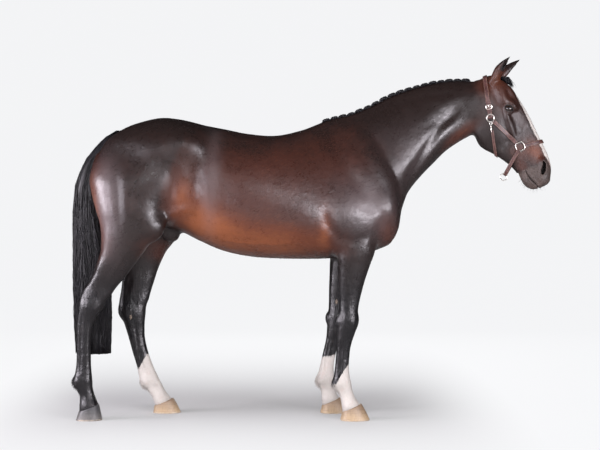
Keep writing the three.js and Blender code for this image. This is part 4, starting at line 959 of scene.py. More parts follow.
def surface_nets(low, high, cell, coarse=5):
    """Vertices and four-sided faces of the field's surface; cubes far from it are left out."""
    low = np.array(low, float)
    blocks = np.ceil((np.array(high, float) - low) / cell / coarse).astype(int)
    n, size = blocks * coarse + 1, cell * coarse
    grid = np.indices(blocks).reshape(3, -1).T
    d = measured(low + (grid + 0.5) * size)
    value = np.full(n, 400.0, np.float32)
    value[:-1, :-1, :-1] = np.kron(d.reshape(blocks), np.ones((coarse,) * 3))
    near = grid[np.abs(d) < size * 1.15 + cell]
    local = np.indices((coarse + 1,) * 3).reshape(3, -1).T
    wanted = np.zeros(n, bool)
    spots = (near[:, None] * coarse + local).reshape(-1, 3)
    wanted[tuple(spots.T)] = True
    spots = np.argwhere(wanted)
    value[tuple(spots.T)] = measured(low + spots * cell)
    solid = value < 0
    x, y, z = n - 1
    count = sum(solid[a:x + a, b:y + b, c:z + c].astype(np.int8) for a, b, c in CUBES)
    cells = np.argwhere((count > 0) & (count < 8))
    corner = [value[tuple((cells + cube).T)] for cube in CUBES]
    total, hits = np.zeros((len(cells), 3)), np.zeros(len(cells))
    for p in range(8):
        for q in range(p + 1, 8):
            step = np.subtract(CUBES[q], CUBES[p])
            if np.abs(step).sum() == 1:
                crossed = (corner[p] < 0) != (corner[q] < 0)
                t = (corner[p] / (corner[p] - corner[q] + 1e-12))[crossed]
                total[crossed] += CUBES[p] + t[:, None] * step
                hits[crossed] += 1
    points = low + (cells + total / hits[:, None]) * cell
    number = np.full(n - 1, -1, np.int64)
    number[tuple(cells.T)] = np.arange(len(cells))
    faces = []
    for axis in range(3):
        o1, o2 = (axis + 1) % 3, (axis + 2) % 3
        a, b = solid.take(range(0, n[axis] - 1), axis), solid.take(range(1, n[axis]), axis)
        e = np.argwhere(a != b)
        e = e[(e[:, o1] > 0) & (e[:, o2] > 0) & (e[:, o1] < n[o1] - 1) & (e[:, o2] < n[o2] - 1)]
        outward = a[tuple(e.T)]
        back1, back2 = np.eye(3, dtype=int)[[o1, o2]]
        quad = np.stack([number[tuple((e - i * back1 - j * back2).T)]
                         for i, j in ((1, 1), (0, 1), (0, 0), (1, 0))], 1)
        quad[~outward] = quad[~outward][:, ::-1]
        faces.append(quad)
    return points, np.concatenate(faces)


def kept(points, faces, keep):
    """The faces whose corners are all kept, with the points numbered again."""
    faces = faces[keep[faces].all(1)]
    used = np.unique(faces)
    again = np.full(len(points), -1)
    again[used] = np.arange(len(used))
    return points[used], again[faces]


def biggest(points, faces):
    """The largest connected part of a mesh."""
    label = np.arange(len(points))
    while True:
        low = label[faces].min(1)
        new = label.copy()
        np.minimum.at(new, faces.ravel(), np.repeat(low, faces.shape[1]))
        new = new[new]
        if (new == label).all():
            break
        label = new
    names, counts = np.unique(label, return_counts=True)
    return kept(points, faces, label == names[counts.argmax()])


# %% Sewing meshes together
def edges(faces):
    corners = faces.shape[1]
    return np.concatenate([faces[:, [i, (i + 1) % corners]] for i in range(corners)])


def open_edges(faces):
    e = edges(faces)
    key = e.min(1) * 10**7 + e.max(1)
    _, first, counts = np.unique(key, return_index=True, return_counts=True)
    return e[first[counts == 1]]


def open_rings(faces):
    """The open edges of a mesh as rings of vertices."""
    after = {}
    for a, b in open_edges(faces):
        after.setdefault(int(a), []).append(int(b))
    rings = []
    while after:
        ring = [next(iter(after))]
        while True:
            here = after[ring[-1]].pop()
            if not after[ring[-1]]:
                del after[ring[-1]]
            if here == ring[0]:
                break
            ring.append(here)
        rings.append(ring)
    return rings


def sew(points, ring_a, ring_b, normal):
    """Triangles between two rings that lie round the same axis."""
    normal = np.array(normal, float)
    centre = points[ring_a].mean(0)
    first = np.cross(normal, [0.31, 0.87, 0.38])
    second = np.cross(normal, first)

    def sorted_ring(ring):
        P = points[ring] - centre
        angle = np.arctan2(P @ second, P @ first)
        order = np.argsort(angle)
        return np.array(ring)[order], angle[order]
    (a, aa), (b, ba) = sorted_ring(ring_a), sorted_ring(ring_b)
    i, j, out = 0, 0, []
    while i < len(a) or j < len(b):
        next_a = aa[i + 1] if i + 1 < len(a) else (aa[0] + 2 * pi if i < len(a) else 1e9)
        next_b = ba[j + 1] if j + 1 < len(b) else (ba[0] + 2 * pi if j < len(b) else 1e9)
        p, q = a[i % len(a)], b[j % len(b)]
        if (next_a <= next_b and i < len(a)) or j >= len(b):
            out.append((p, q, a[(i + 1) % len(a)]))
            i += 1
        else:
            out.append((p, q, b[(j + 1) % len(b)]))
            j += 1
    return np.array(out)


def as_triangles(points, quads):
    """Splits four-sided faces along their shorter diagonal."""
    d1, d2 = (((points[quads[:, i]] - points[quads[:, i + 2]]) ** 2).sum(1) for i in (0, 1))
    one, two = quads[d1 <= d2], quads[d1 > d2]
    return np.concatenate([one[:, [0, 1, 2]], one[:, [0, 2, 3]],
                           two[:, [0, 1, 3]], two[:, [1, 2, 3]]])


def settle(points, rounds=2, limit=3.0):
    """Moves points along the field's slope onto its surface."""
    for _ in range(rounds):
        d = skin_field(points)
        g = np.stack([(skin_field(points + e) - skin_field(points - e)) / 1.6
                      for e in np.eye(3) * 0.8], 1)
        step = d[:, None] * g / np.maximum((g * g).sum(1), 0.25)[:, None]
        size = np.linalg.norm(step, axis=1, keepdims=True)
        points = points - step * np.minimum(1, limit / np.maximum(size, 1e-9))
    return points


def relax(points, faces, amount, rounds=1):
    """Moves each point towards the mean of its neighbours."""
    e = edges(faces)
    e = np.concatenate([e, e[:, ::-1]])
    for _ in range(rounds):
        total = np.stack([np.bincount(e[:, 0], points[e[:, 1], m], len(points))
                          for m in range(3)], 1)
        mean = total / np.maximum(np.bincount(e[:, 0], minlength=len(points)), 1)[:, None]
        points = points + (mean - points) * amount
    return points


def divide(points, faces, marked):
    """Splits marked triangles in four and their neighbours so that no gap opens."""
    e = np.sort(edges(faces), 1)
    key = e[:, 0] * 10**7 + e[:, 1]
    unique, inverse = np.unique(key, return_inverse=True)
    inverse = inverse.reshape(3, -1).T
    split = np.zeros(len(unique), bool)
    split[inverse[marked].ravel()] = True
    while (two := split[inverse].sum(1) == 2).any():      # two split sides: the third is split too
        split[inverse[two].ravel()] = True
    new = np.full(len(unique), -1)
    new[split] = len(points) + np.arange(split.sum())
    ends = np.stack([unique[split] // 10**7, unique[split] % 10**7], 1)
    points = np.concatenate([points, points[ends].mean(1)])
    m = new[inverse]
    count = (m >= 0).sum(1)
    out = [faces[count == 0]]
    full, f = m[count == 3], faces[count == 3]
    out += [np.stack([f[:, i], full[:, i], full[:, i - 1]], 1) for i in range(3)] + [full]
    for k in range(3):
        pick = (count == 1) & (m[:, k] >= 0)
        f, p = faces[pick], m[pick, k]
        a, b, c = f[:, k], f[:, (k + 1) % 3], f[:, (k + 2) % 3]
        out += [np.stack([a, p, c], 1), np.stack([p, b, c], 1)]
    return points, np.concatenate(out), new[split]


# %% Skin from three meshes
NECK_RING, LEG_RING, EAR_RING = 872, 600, 1943        # places of the rings where cube sizes change
REGIONS = [   # low and high corner, size of the cubes, and what is kept of it
    ((-1290, -360, LEG_RING - 24), (NECK_RING + 12, 360, 2010), 14.0,
     lambda x, z: (x < NECK_RING - 6) & (z > LEG_RING + 6)),
    ((-1360, -225, 20), (300, 225, LEG_RING + 12), 8.0, lambda x, z: z < LEG_RING - 4),
    ((NECK_RING - 6, -240, 1180), (1345, 190, EAR_RING + 6), 4.5,
     lambda x, z: (x > NECK_RING + 2) & (z < EAR_RING - 2)),
    ((930, -240, EAR_RING - 5), (1230, 140, 2035), 2.5, lambda x, z: z > EAR_RING + 1)]
TRUNK_PART, HEAD_PART = 0, 2

parts = []
for low, high, cell, wanted in REGIONS:
    p, f = surface_nets(low, high, cell)
    parts.append(kept(p, f, wanted(p[:, 0], p[:, 2])))
for part in (TRUNK_PART, HEAD_PART):
    parts[part] = biggest(*parts[part])
print("trunk, legs, head, ears faces:", [len(f) for _, f in parts])

starts = np.cumsum([0] + [len(p) for p, _ in parts])
skin_p, skin_q = merged(parts)
rings = [r for r in open_rings(skin_q) if len(r) > 12]
sides = [np.searchsorted(starts, r[0], side="right") - 1 for r in rings]
sewn = []
for i, ring in enumerate(rings):
    middle = skin_p[ring].mean(0)
    gap, j = min((np.linalg.norm(skin_p[r].mean(0) - middle), j)
                 for j, r in enumerate(rings) if sides[j] != sides[i])
    if i < j and gap < 60:
        across_neck = {sides[i], sides[j]} == {TRUNK_PART, HEAD_PART}
        sewn.append(sew(skin_p, rings[j], ring, (1, 0, 0) if across_neck else (0, 0, 1)))
        print("sewn: rings of", len(ring), "and", len(rings[j]), "points, apart", round(gap, 1))
skin_f = np.concatenate([as_triangles(skin_p, skin_q), *sewn])
# all triangles face outward
seam = skin_f[-sum(map(len, sewn)):]
P = skin_p[seam]
normal = 2 * unit(np.cross(P[:, 1] - P[:, 0], P[:, 2] - P[:, 0]))
away = skin_field(P.mean(1) + normal) < skin_field(P.mean(1) - normal)
seam[away] = seam[away][:, ::-1]
for _ in range(2):
    skin_p = settle(relax(skin_p, skin_f, 0.45), 1)
print("skin before dividing:", len(skin_p), "points", len(skin_f), "triangles")

# %% Finer triangles at the eyes, nostrils and lips
def fine_places(points, faces, level):
    Q = unturn(points[faces].mean(1))
    s, u = head_frame(Q)
    a, b, out = eye_frame(Q)
    grow = (1.0, 0.72)[level]
    at_eye = ((a / 34) ** 2 + (b / 27) ** 2 < grow**2) & (out > 8) & (Q[:, 0] > 900)
    at_mouth = (s > 542) & (s < 676) & (np.abs(above_mouth(s, u)) < 11 * grow) & (level == 0)
    near_nostril = ((s - 581) / (36 * grow)) ** 2 + ((u - 43) / (30 * grow)) ** 2 < 1
    at_nostril = near_nostril & (np.abs(Q[:, 1]) > 22)
    return at_eye | at_mouth | at_nostril


for level in (0, 1):
    skin_p, skin_f, new = divide(skin_p, skin_f, fine_places(skin_p, skin_f, level))
    skin_p[new] = settle(skin_p[new], 2)
    moving = np.unique(skin_f[fine_places(skin_p, skin_f, level)])
    smoothed = relax(skin_p, skin_f, 0.5)
    skin_p[moving] = settle(smoothed[moving], 2)
skin = mesh_object("skin", skin_p, skin_f)
print("skin:", len(skin_p), "points", triangles(skin), "triangles")

# %% [markdown]
# ## Colour of the coat
# The horse is a dark bay: almost black on the neck, back and legs, with red and orange-brown where
# the coat thins over flank, belly, elbow and buttock. Three socks and a blaze are white. The same
# function of place colours the skin and every tuft, so that they always agree. It is stored on the
# points as numbers: how warm the hair is, how far inside a white marking, how bare the skin, how
# much painted shade darkens a hollow, and how much painted sheen, a greyish highlight, lies on the
# coat.

# %% Markings
WARM = [   # middle x, z, radii, tilt in degrees, strength
    (-560, 1075, 150, 110, -24, 0.90), (-330, 985, 240, 110, -6, 0.70),
    (-90, 975, 200, 110, 0, 0.58), (-715, 1245, 42, 95, -14, 0.62), (-650, 1150, 80, 80, 0, 0.45),
    (72, 1060, 30, 110, 0, 0.62), (-1196, 1180, 46, 190, 4, 0.85), (-1150, 1060, 60, 90, 0, 0.3),
    (-860, 930, 80, 70, 0, 0.35), (430, 1040, 60, 90, 0, 0.42), (835, 1590, 110, 34, 40, 0.42),
    (990, 1868, 60, 70, 0, 0.40), (-280, 1310, 430, 230, 0, 0.33), (180, 1480, 220, 160, -30, 0.14),
    (-930, 1330, 200, 220, 0, 0.26), (1080, 1800, 60, 90, 0, 0.18)]
WARM_HEAD = [   # the same in the head's own frame
    (478, 44, 60, 40, 0, 0.68), (440, -30, 40, 50, 0, 0.36), (520, -60, 40, 30, 0, 0.3),
    (120, 60, 70, 40, 0, 0.12), (300, 60, 90, 30, 0, 0.10), (14, 52, 50, 40, 0, 0.38),
    (240, -30, 190, 90, 0, 0.10)]
PAINTED_SHEEN = [   # painted sheen: broad greyish highlights mixed into the coat's colour, not cast by lamps
    (-1132, 1200, 62, 185, 4, 0.85), (-549, 1310, 36, 250, -3, 0.34),
    (-190, 1235, 230, 130, -8, 0.08), (300, 1195, 140, 120, -35, 0.5),
    (560, 1480, 130, 190, 40, 0.16)]
DARK_SHEATH = [(-775, 1030, 75, 50, 0, 0.95)]
THIGH_EDGE = [   # z, x
    (1140, -765), (1179, -815), (1270, -800), (1400, -750), (1523, -692), (1600, -660)]
SOCKS = [   # side, x range, height in front, height behind
    (RIGHT, (60, 400), 318, 205), (LEFT, (0, 260), 336, 322), (LEFT, (-1100, -700), 338, 258)]


def soft_ellipse(a, b, x, z, rx, rz, tilt):
    c, s = cos(radians(tilt)), sin(radians(tilt))
    p, q = ((a - x) * c + (b - z) * s) / rx, ((b - z) * c - (a - x) * s) / rz
    return np.exp(-(p * p + q * q) * 0.75)


def fade(left, spots, a, b, gate=1.0):
    """What soft ellipses leave of a value, where the gate is 1."""
    for x, z, rx, rz, tilt, strength in spots:
        left = left * (1 - strength * gate * soft_ellipse(a, b, x, z, rx, rz, tilt))
    return left


def markings(P):
    """Warmth, whiteness, bareness, painted shade of hollows and painted sheen of the coat at each
    place.
    """
    Q = unturn(P)
    s, u = head_frame(Q)
    x, z, y = P[:, 0], P[:, 2], np.abs(Q[:, 1])
    on_head = smooth((Q[:, 0] - 900) / 80) * smooth((s + 75) / 50)
    warm = 1 - fade(fade(np.ones(len(P)), WARM, x, z), WARM_HEAD, s, u, on_head)
    edge = np.interp(z, *np.array(THIGH_EDGE).T)
    thigh = smooth((edge - x) / 50) * smooth((x + 1165) / 90) * smooth((z - 960) / 120)
    warm = warm * (1 - 0.7 * thigh)
    below = smooth((960 - z) / 120)                           # the legs are black
    warm = warm * (1 - 0.9 * below * (x > 100)) * (1 - 0.8 * smooth((900 - z) / 90))
    warm = fade(warm, DARK_SHEATH, x, z, y < 75)
    white = np.full(len(P), -60.0)
    for side, (x0, x1), front, behind in SOCKS:
        on = (P[:, 1] * side > 60) & (x > x0) & (x < x1) & (z < 420)
        form = LEGS["fore_right" if side == RIGHT else "fore_left" if x0 > -500 else "hind_left"]
        t = np.clip((x - columns_at(form.rows, z)[0]) / 70 + 0.5, 0, 1)
        white = np.where(on, behind + (front - behind) * t - z, white)
    top = np.interp(s, [100, 155, 325, 460, 520, 575, 620], [80, 88, 99, 99, 98, 89, 72])
    half = np.interp(s, [120, 150, 200, 300, 420, 500, 560, 590, 605],
                     [0, 15, 18, 15, 17, 25, 26, 18, 0])
    # the blaze lies towards the right side
    half = half * np.where(Q[:, 1] < 0, np.interp(s, [380, 470], [1.75, 1.25]), 1.0)
    white = np.maximum(white, np.where((on_head > 0.5) & (u > top - 46), half - y, -60))
    muzzle = smooth((s - 520) / 50) * on_head
    eye = np.exp(-(((s - EYE["s"]) / 34) ** 2 + ((u - EYE["u"]) / 26) ** 2) ** 2)
    eye = eye * (y > 40) * on_head
    bare = np.maximum(muzzle, 0.75 * eye)
    # how deep inside the nostril, the mouth, the socket or the cup of an ear: painted shade in these
    # hollows, except that the lids are black skin of their own
    p, q = (s - 580) * 0.87 - (u - 45) * 0.5, (u - 45) * 0.87 + (s - 580) * 0.5
    slot = (p / 40) ** 2 + (q / 15) ** 2
    deep = smooth((41 - y) / 9) * smooth((1.25 - slot) / 0.4) * (s > 530)
    between_lips = 0.8 * smooth((4.2 - np.abs(above_mouth(s, u))) / 4) * smooth((s - 545) / 10)
    deep = np.maximum(deep, between_lips)
    a, b, out = eye_frame(Q)
    rim = almond(a, b, LID["half"] + 4.5, LID["upper"] + 4.5, LID["lower"] + 4.5)
    on_lid = smooth((8 - rim) / 7) * (out > 0) * (s > 100)                 # the lids are black
    deep = np.maximum(deep, on_lid * 0.85)
    # painted shade inside the cup of each ear
    for spec in EARS.values():
        t, v, w = ear_frame(P, spec)
        k = np.clip(t, 0, 1)
        wide, depth = columns_at(EAR_ROWS, k)
        inner = np.hypot(v / np.maximum(wide - 5.5, 1), w / np.maximum(depth - 5.5, 1))
        cup = (t > spec["slit"] - 0.05) & (t < 1) & (np.abs(v) < 40)
        deep = np.where(cup, 0.9 * smooth((1.14 - inner) / 0.2), deep)
    # painted sheen: greyish highlights painted into the colour, none near the middle line
    left_unpainted = fade(np.ones(len(P)), PAINTED_SHEEN, x, z)
    return warm, white, bare, deep, (1 - left_unpainted) * smooth((y - 60) / 60)


def lie(P):
    """Direction in which the hair lies: back and down the body, down the legs and the face."""
    Q = unturn(P)
    s, _ = head_frame(Q)
    low = smooth((1000 - P[:, 2]) / 160)
    back = np.stack([np.full(len(P), -1.0), np.zeros(len(P)), np.full(len(P), -0.55)], 1)
    flank = soft_ellipse(P[:, 0], P[:, 2], -640, 1250, 120, 200, 0)[:, None]
    back = back * (1 - flank) + flank * np.array([0.35, 0, 1.0])
    down = np.array([-0.15, 0, -1.0])
    way = back * (1 - low[:, None]) + down * low[:, None]
    neck = (smooth((P[:, 0] - 350) / 200) * (1 - low))[:, None]
    way = way * (1 - neck) + np.array([-0.75, 0, -0.8]) * neck
    on_head = (smooth((Q[:, 0] - 930) / 60) * smooth((s - 10) / 60))[:, None]
    way = way * (1 - on_head) + s_way * on_head
    for spec in EARS.values():
        t, v, w = ear_frame(P, spec)
        on_ear = (t > 0) & (t < 1.1) & (np.abs(v) < 40) & (np.abs(w) < 40)
        way = np.where(on_ear[:, None], spec["axis"], way)
    return way / np.linalg.norm(way, axis=1, keepdims=True)


def paint(ob, roots, each=1, uneven=None):
    """Stores the markings and the lie of the hair on the points of a piece, some points a root."""
    marks = dict(zip(("warm", "white", "bare", "deep", "sheen"), markings(roots)))
    if uneven:                                  # one hair differs a little from the next
        marks["warm"] = marks["warm"] + uneven.normal(0, 0.05, len(roots))
        marks["white"] = marks["white"] + uneven.normal(0, 1.5, len(roots))
    marks["white"] = marks["white"] * MM * 100
    for name, data in (*marks.items(), ("lie", lie(roots))):
        store(ob, name, data, each)


paint(skin, skin_p)
print("marked points of the skin:", len(skin_p))


# %% Coat finish
def coat_finish(name, gloss):
    f = Finish(name, (0.02, 0.01, 0.008), gloss, Specular_IOR_Level=0.46)
    here = f.here()
    warm = f.attribute("warm", "Fac")
    white = f.attribute("white", "Fac")
    bare = f.attribute("bare", "Fac")
    patch = f.noise(here, 7.0, 4.0, 0.6)                      # uneven growth, a hand across
    # fibres: noise drawn out along the lie by subtracting most of the place's part along it
    way = f.attribute("lie")
    along = f.vector("DOT_PRODUCT", here, way)
    across = f.vector("SUBTRACT", here, f.vector("SCALE", way, along * 0.93))
    fibre = f.noise(across, 900.0, 3.0, 0.6)
    streak = f.noise(across, 160.0, 3.0, 0.55)
    mottle = f.noise(here, 38.0, 3.0, 0.6)
    reach, _, high = f.split(here)
    low_down = 1.0 - high.step(0.62, 1.0)                      # the legs show more of what is below
    face = reach.step(0.86, 1.0) * high.step(1.15, 1.4)
    w = (warm + (patch - 0.5) * 0.30 * (1.0 - face * 0.5) + (streak - 0.5) * 0.16
         + (mottle - 0.5) * warm * 0.22).clamp()
    black, brown = (0.0100, 0.0058, 0.0050), (0.036, 0.0110, 0.0068)
    red, orange = (0.076, 0.020, 0.0075), (0.165, 0.049, 0.0155)
    tone = f.mix(w.step(0.02, 0.36), f.mix(low_down, black, (0.0045, 0.0042, 0.0050)), brown)
    tone = f.mix(w.step(0.30, 0.66), tone, red)
    tone = f.mix(w.step(0.58, 0.98), tone, orange)
    bright = f.mix(w.step(0.1, 0.6), (0.02, 0.014, 0.012), (0.22, 0.075, 0.028))
    tone = f.mix(streak.step(0.56, 0.8) * 0.35, tone, bright)
    # painted sheen: a greyish highlight mixed into the coat's colour
    painted_gleam = f.attribute("sheen", "Fac") * (streak * 0.5 + patch * 0.6 + 0.4)
    tone = f.mix(painted_gleam.clamp(), tone, (0.112, 0.088, 0.091))
    naked = f.mix(patch.step(0.35, 0.7), (0.026, 0.019, 0.017), (0.062, 0.042, 0.035))
    tone = f.mix(bare.step(0.25, 0.9) * (1.0 - w.step(0.45, 0.8) * 0.6), tone, naked)
    edge = white + (streak - 0.5) * 1.1 + (patch - 0.5) * 0.8 + (mottle - 0.5) * 1.4 * low_down
    pink = bare.step(0.6, 1.0) * 0.7
    pink = (pink + mottle.step(0.52, 0.75) * low_down * 0.35).clamp()
    clean = f.mix(fibre.step(0.3, 0.7), (0.36, 0.335, 0.305), (0.46, 0.435, 0.41))
    clean = f.mix(pink, clean, (0.38, 0.27, 0.235))
    tone = f.mix(edge.step(-0.12, 0.3), tone, clean)
    # painted shade: hollows go almost black in colour; the lids are black skin
    deep = f.attribute("deep", "Fac")
    f.color(f.mix(deep.step(0.1, 0.95), tone, (0.006, 0.0045, 0.0045)))
    f.rough((gloss + deep * 0.3 + (patch - 0.5) * 0.22 + (mottle - 0.5) * 0.24
             + (streak - 0.5) * 0.16 + (fibre - 0.5) * 0.14 + bare * 0.14
             + edge.step(-0.1, 0.3) * 0.25 + face * 0.13).clamp())
    under = f.noise(here, 24.0, 3.0, 0.6)                      # small muscles and veins
    cords = f.noise(f.scaled(here, (60, 60, 9)), 1.0, 2.0, 0.5)
    height = under * (low_down * 1.3 + 1.0) + cords * low_down * 1.3
    coarse = f.bump(streak, 0.0009, 0.35, Normal=f.bump(height, 0.0038, 0.5))
    f.bump(fibre, 0.00022, 0.5, Normal=coarse)
    return f


coat = coat_finish("bay_coat", gloss=0.31)
skin.data.materials.append(coat.mat)
FLESH = ["trunk", "neck", "head", "ear_right", "ear_left"] + [
    f"{end}leg_{side}_{part}" for end in ("fore", "hind") for side in ("right", "left")
    for part in ("upper", "lower")]
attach(skin, "root")
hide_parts(*FLESH)
print("skin replaces", len(FLESH), "nodes")

# %% [markdown]
# ## Tufts of the coat
# A summer coat is a few millimetres long and lies flat. Fine tufts over the skin catch the light
# one by one, which is what makes a groomed coat look like hair. Each is a tiny roof of two
# triangles that leaves the skin and comes down along the lie. They are longest on the body,
# shorter on the legs and finest on the face. Where the form turns sharply, at the elbow, flank,
# belly, jaw and fetlock, longer hairs stand clear of it.

# %% Places on the skin
tri = skin_p[skin_f]
face_normal = np.cross(tri[:, 1] - tri[:, 0], tri[:, 2] - tri[:, 0])
face_area = np.linalg.norm(face_normal, axis=1) / 2
face_normal = face_normal / np.maximum(2 * face_area, 1e-9)[:, None]
face_middle = tri.mean(1)
skin_n = np.zeros_like(skin_p)
for j in range(3):
    np.add.at(skin_n, skin_f[:, j], face_normal * face_area[:, None])
skin_n = unit(skin_n)
coat_rng = np.random.default_rng(11)


def places_on(weight, count):
    """Random places on the skin, more where the weight of a face is more, with their normals."""
    chance = np.cumsum(face_area * weight)
    pick = np.searchsorted(chance, coat_rng.random(count) * chance[-1])
    a, b = coat_rng.random((2, count))
    over = a + b > 1
    a[over], b[over] = 1 - a[over], 1 - b[over]
    mix = np.stack([1 - a - b, a, b], 1)[:, :, None]
    return (tri[pick] * mix).sum(1), unit((skin_n[skin_f[pick]] * mix).sum(1))


def rooted(weight, count):
    """Random places with their normals, the lie of the hair there, and the way across it."""
    roots, normal = places_on(weight, count)
    way = lie(roots)
    way = unit(way - (way * normal).sum(1, keepdims=True) * normal)
    return roots, normal, way, np.cross(normal, way)


def unwrap(P):
    """Place on the skin's own unwrap: each part is unrolled round its own axis."""
    Q = unturn(P)
    s, u = head_frame(Q)
    turn = lambda a, b: np.arctan2(a, b) / (2 * pi) + 0.5
    x, y, z = P.T

    def cell(left, bottom, along, around):
        return np.stack([left + 0.46 * np.clip(along, 0, 1), bottom + 0.46 * around], 1)
    nx, nz = ((x - 350) * cos(0.576) + (z - 1380) * sin(0.576),
              -(x - 350) * sin(0.576) + (z - 1380) * cos(0.576))
    uv = cell(0.02, 0.02, (x + 1320) / 1840, turn(y, z - 1300))
    neck = cell(0.52, 0.02, nx / 800, turn(Q[:, 1], nz - 80))
    uv = np.where(((nx > 40) & (z > 1150))[:, None], neck, uv)
    head = cell(0.02, 0.52, (s + 90) / 790, turn(Q[:, 1], u + 30))
    uv = np.where(((Q[:, 0] > 905) & (z > 1150))[:, None], head, uv)
    for i, form in enumerate(LEGS.values()):
        leg_x, leg_y, *_ = columns_at(form.rows, z)
        on = (z < 880) & (np.abs(x - leg_x) < 160) & (y * form.side > 0)
        strip = np.stack([0.52 + 0.115 * i + 0.105 * turn(y - leg_y * form.side, x - leg_x),
                          0.52 + 0.46 * np.clip(z / 900, 0, 1)], 1)
        uv = np.where(on[:, None], strip, uv)
    return uv


def give_map(ob, roots, points_each, patch=0.003):
    """Gives each tuft a small patch of the unwrap at its root's place."""
    centre = np.repeat(unwrap(roots), points_each, axis=0)
    spot = np.arange(points_each) / max(points_each - 1, 1)
    corner = np.stack([spot - 0.5, np.abs(spot - 0.5) - 0.25], 1) * patch
    per_point = centre + np.tile(corner, (len(roots), 1))
    index = np.empty(len(ob.data.loops), np.int32)
    ob.data.loops.foreach_get("vertex_index", index)
    layer = ob.data.uv_layers.new(name="OFBake")
    layer.data.foreach_set("uv", per_point[index].astype(np.float32).ravel())


def flat_tufts(name, weight, count, length, width, height):
    """Tiny roofs along the lie: a ridge with two slopes, wide and high at the root."""
    roots, normal, way, side = rooted(weight, count)
    turn = coat_rng.normal(0, 0.16, (count, 1))
    way, side = way * np.cos(turn) + side * np.sin(turn), side * np.cos(turn) - way * np.sin(turn)
    k = coat_rng.uniform(0.6, 1.25, (count, 1))
    long_, wide, high = length * k, width * k, height * k * coat_rng.uniform(0.5, 0.9, (count, 1))
    left, right = (roots + side * half - normal * 0.25 + way * long_ * 0.18
                   for half in (wide / 2, -wide / 2))
    ridge = roots + normal * high * 0.75 + way * long_ * 0.25
    aside = side * coat_rng.normal(0, 0.08, (count, 1)) * long_
    tip = roots + way * long_ + normal * high * 0.8 + aside
    points = np.stack([left, ridge, right, tip], 1).reshape(-1, 3)
    base = np.arange(count)[:, None] * 4
    ob = mesh_object(name, points, np.concatenate([base + [0, 1, 3], base + [1, 2, 3]]))
    # a tuft shines much as the skin below it does, a little turned to each side
    lean = coat_rng.normal(0, 0.03, (count, 1)) * side
    shine = np.stack([normal + 0.13 * side + lean, normal + lean, normal - 0.13 * side + lean,
                      normal + 0.06 * way + lean], 1)
    ob.data.normals_split_custom_set_from_vertices(unit(shine.reshape(-1, 3)))
    paint(ob, roots, 4, coat_rng)
    give_map(ob, roots, 4)
    return ob


# %% Tufts over body, legs and head
Qm = unturn(face_middle)
sm, um = head_frame(Qm)
xm, ym, zm = face_middle.T
is_head = (Qm[:, 0] > 905) & (zm > 1150)
is_leg = ~is_head & (zm < 860)
is_body = ~is_head & ~is_leg
marks = markings(face_middle)
open_skin = (marks[3] < 0.4) & (zm > 40)
not_bare = 1 - 0.85 * smooth((marks[2] - 0.3) / 0.5)
COAT_PIECES = [
    flat_tufts("coat_body", is_body * open_skin, 92000, 18.0, 2.7, 0.8),
    flat_tufts("coat_legs", is_leg * open_skin, 74000, 12.0, 2.0, 0.9),
    flat_tufts("coat_head", is_head * open_skin * not_bare, 84000, 7.0, 1.2, 0.45)]
print("flat tufts:", [triangles(p) for p in COAT_PIECES])

# %% Longer hair where the form turns
TUFT_STEPS, TUFT_CORNERS = 4, 3


def standing_tufts(name, groups):
    """Groups of (weight, count, length, width, lift): closed curved spikes that leave the form."""
    meshes, all_roots = [], []
    for weight, count, length, width, lift in groups:
        roots, normal, way, side = rooted(weight, count)
        turn = coat_rng.normal(0, 0.22, (count, 1))
        way = way * np.cos(turn) + side * np.sin(turn)
        long_ = length * coat_rng.uniform(0.55, 1.2, (count, 1, 1))
        t = np.linspace(0, 1, TUFT_STEPS)[None, :, None]
        path = (roots[:, None] - normal[:, None] * 0.8 + long_ * t * way[:, None]
                + normal[:, None] * long_ * lift * (t - 0.35 * t**2)
                + np.array([0, 0, -1.0]) * long_ * 0.12 * t**2)
        narrowing = 1 - 0.93 * t[..., 0] ** 1.6
        wide = width * coat_rng.uniform(0.7, 1.2, (count, 1)) * narrowing
        meshes.append(tubes(path, wide, corners=TUFT_CORNERS, flat=0.8, across=(0.2, 1, 0.1)))
        all_roots.append(roots)
    roots = np.concatenate(all_roots)
    ob = mesh_object(name, *merged(meshes))
    paint(ob, roots, TUFT_STEPS * TUFT_CORNERS, coat_rng)
    give_map(ob, roots, TUFT_STEPS * TUFT_CORNERS)
    return ob


def ball(x, z, r, side=BOTH):
    """1 on the skin round a place in the side view, fading out; for the weights above."""
    d = np.exp(-((xm - x) ** 2 + (zm - z) ** 2) / r**2)
    return d if side == BOTH else d * (ym * side > 0)


down_facing = smooth((-face_normal[:, 2] - 0.1) / 0.6)
belly = is_body * down_facing * (xm > -760) * (xm < 360) * (zm < 1000)
behind = smooth((-face_normal[:, 0] - 0.2) / 0.5)
fetlocks = sum(ball(x, z, 34, side) for x, z, side in (
    (140, 196, RIGHT), (54, 182, LEFT), (-1306, 208, RIGHT), (-958, 166, LEFT))) * behind
coronets = sum((np.abs(coronet_height(h, xm) + 6 - zm) < 10) * (ym * h["side"] > 0)
               * (xm > h["back"][0] - 30) * (xm < h["front"][0] + 30) for h in HOOVES.values()) * 1.0
cannons = is_leg * behind * (zm > 230) * (zm < 480)
jaw = is_head * smooth((-um - 70) / 40) * (sm > 60) * (sm < 560) * down_facing
chest = ball(455, 1060, 120) + ball(400, 960, 90) * down_facing
elbows = ball(60, 1040, 60) + ball(-640, 1120, 60) * down_facing + ball(-1165, 1180, 60) * behind
long_coat = standing_tufts("coat_long", [
    (belly, 1500, 15, 1.6, 0.16), (fetlocks, 900, 26, 1.5, 0.34), (coronets, 1700, 15, 1.5, 0.22),
    (cannons, 1100, 12, 1.2, 0.22), (jaw, 900, 11, 0.9, 0.25), (chest, 900, 13, 1.5, 0.16),
    (elbows, 700, 13, 1.5, 0.18)])
COAT_PIECES.append(long_coat)
print("long tufts:", triangles(long_coat))

# %% Whiskers, lashes and the hair of the ears
HAIR_STEPS, HAIR_CORNERS = 6, 3


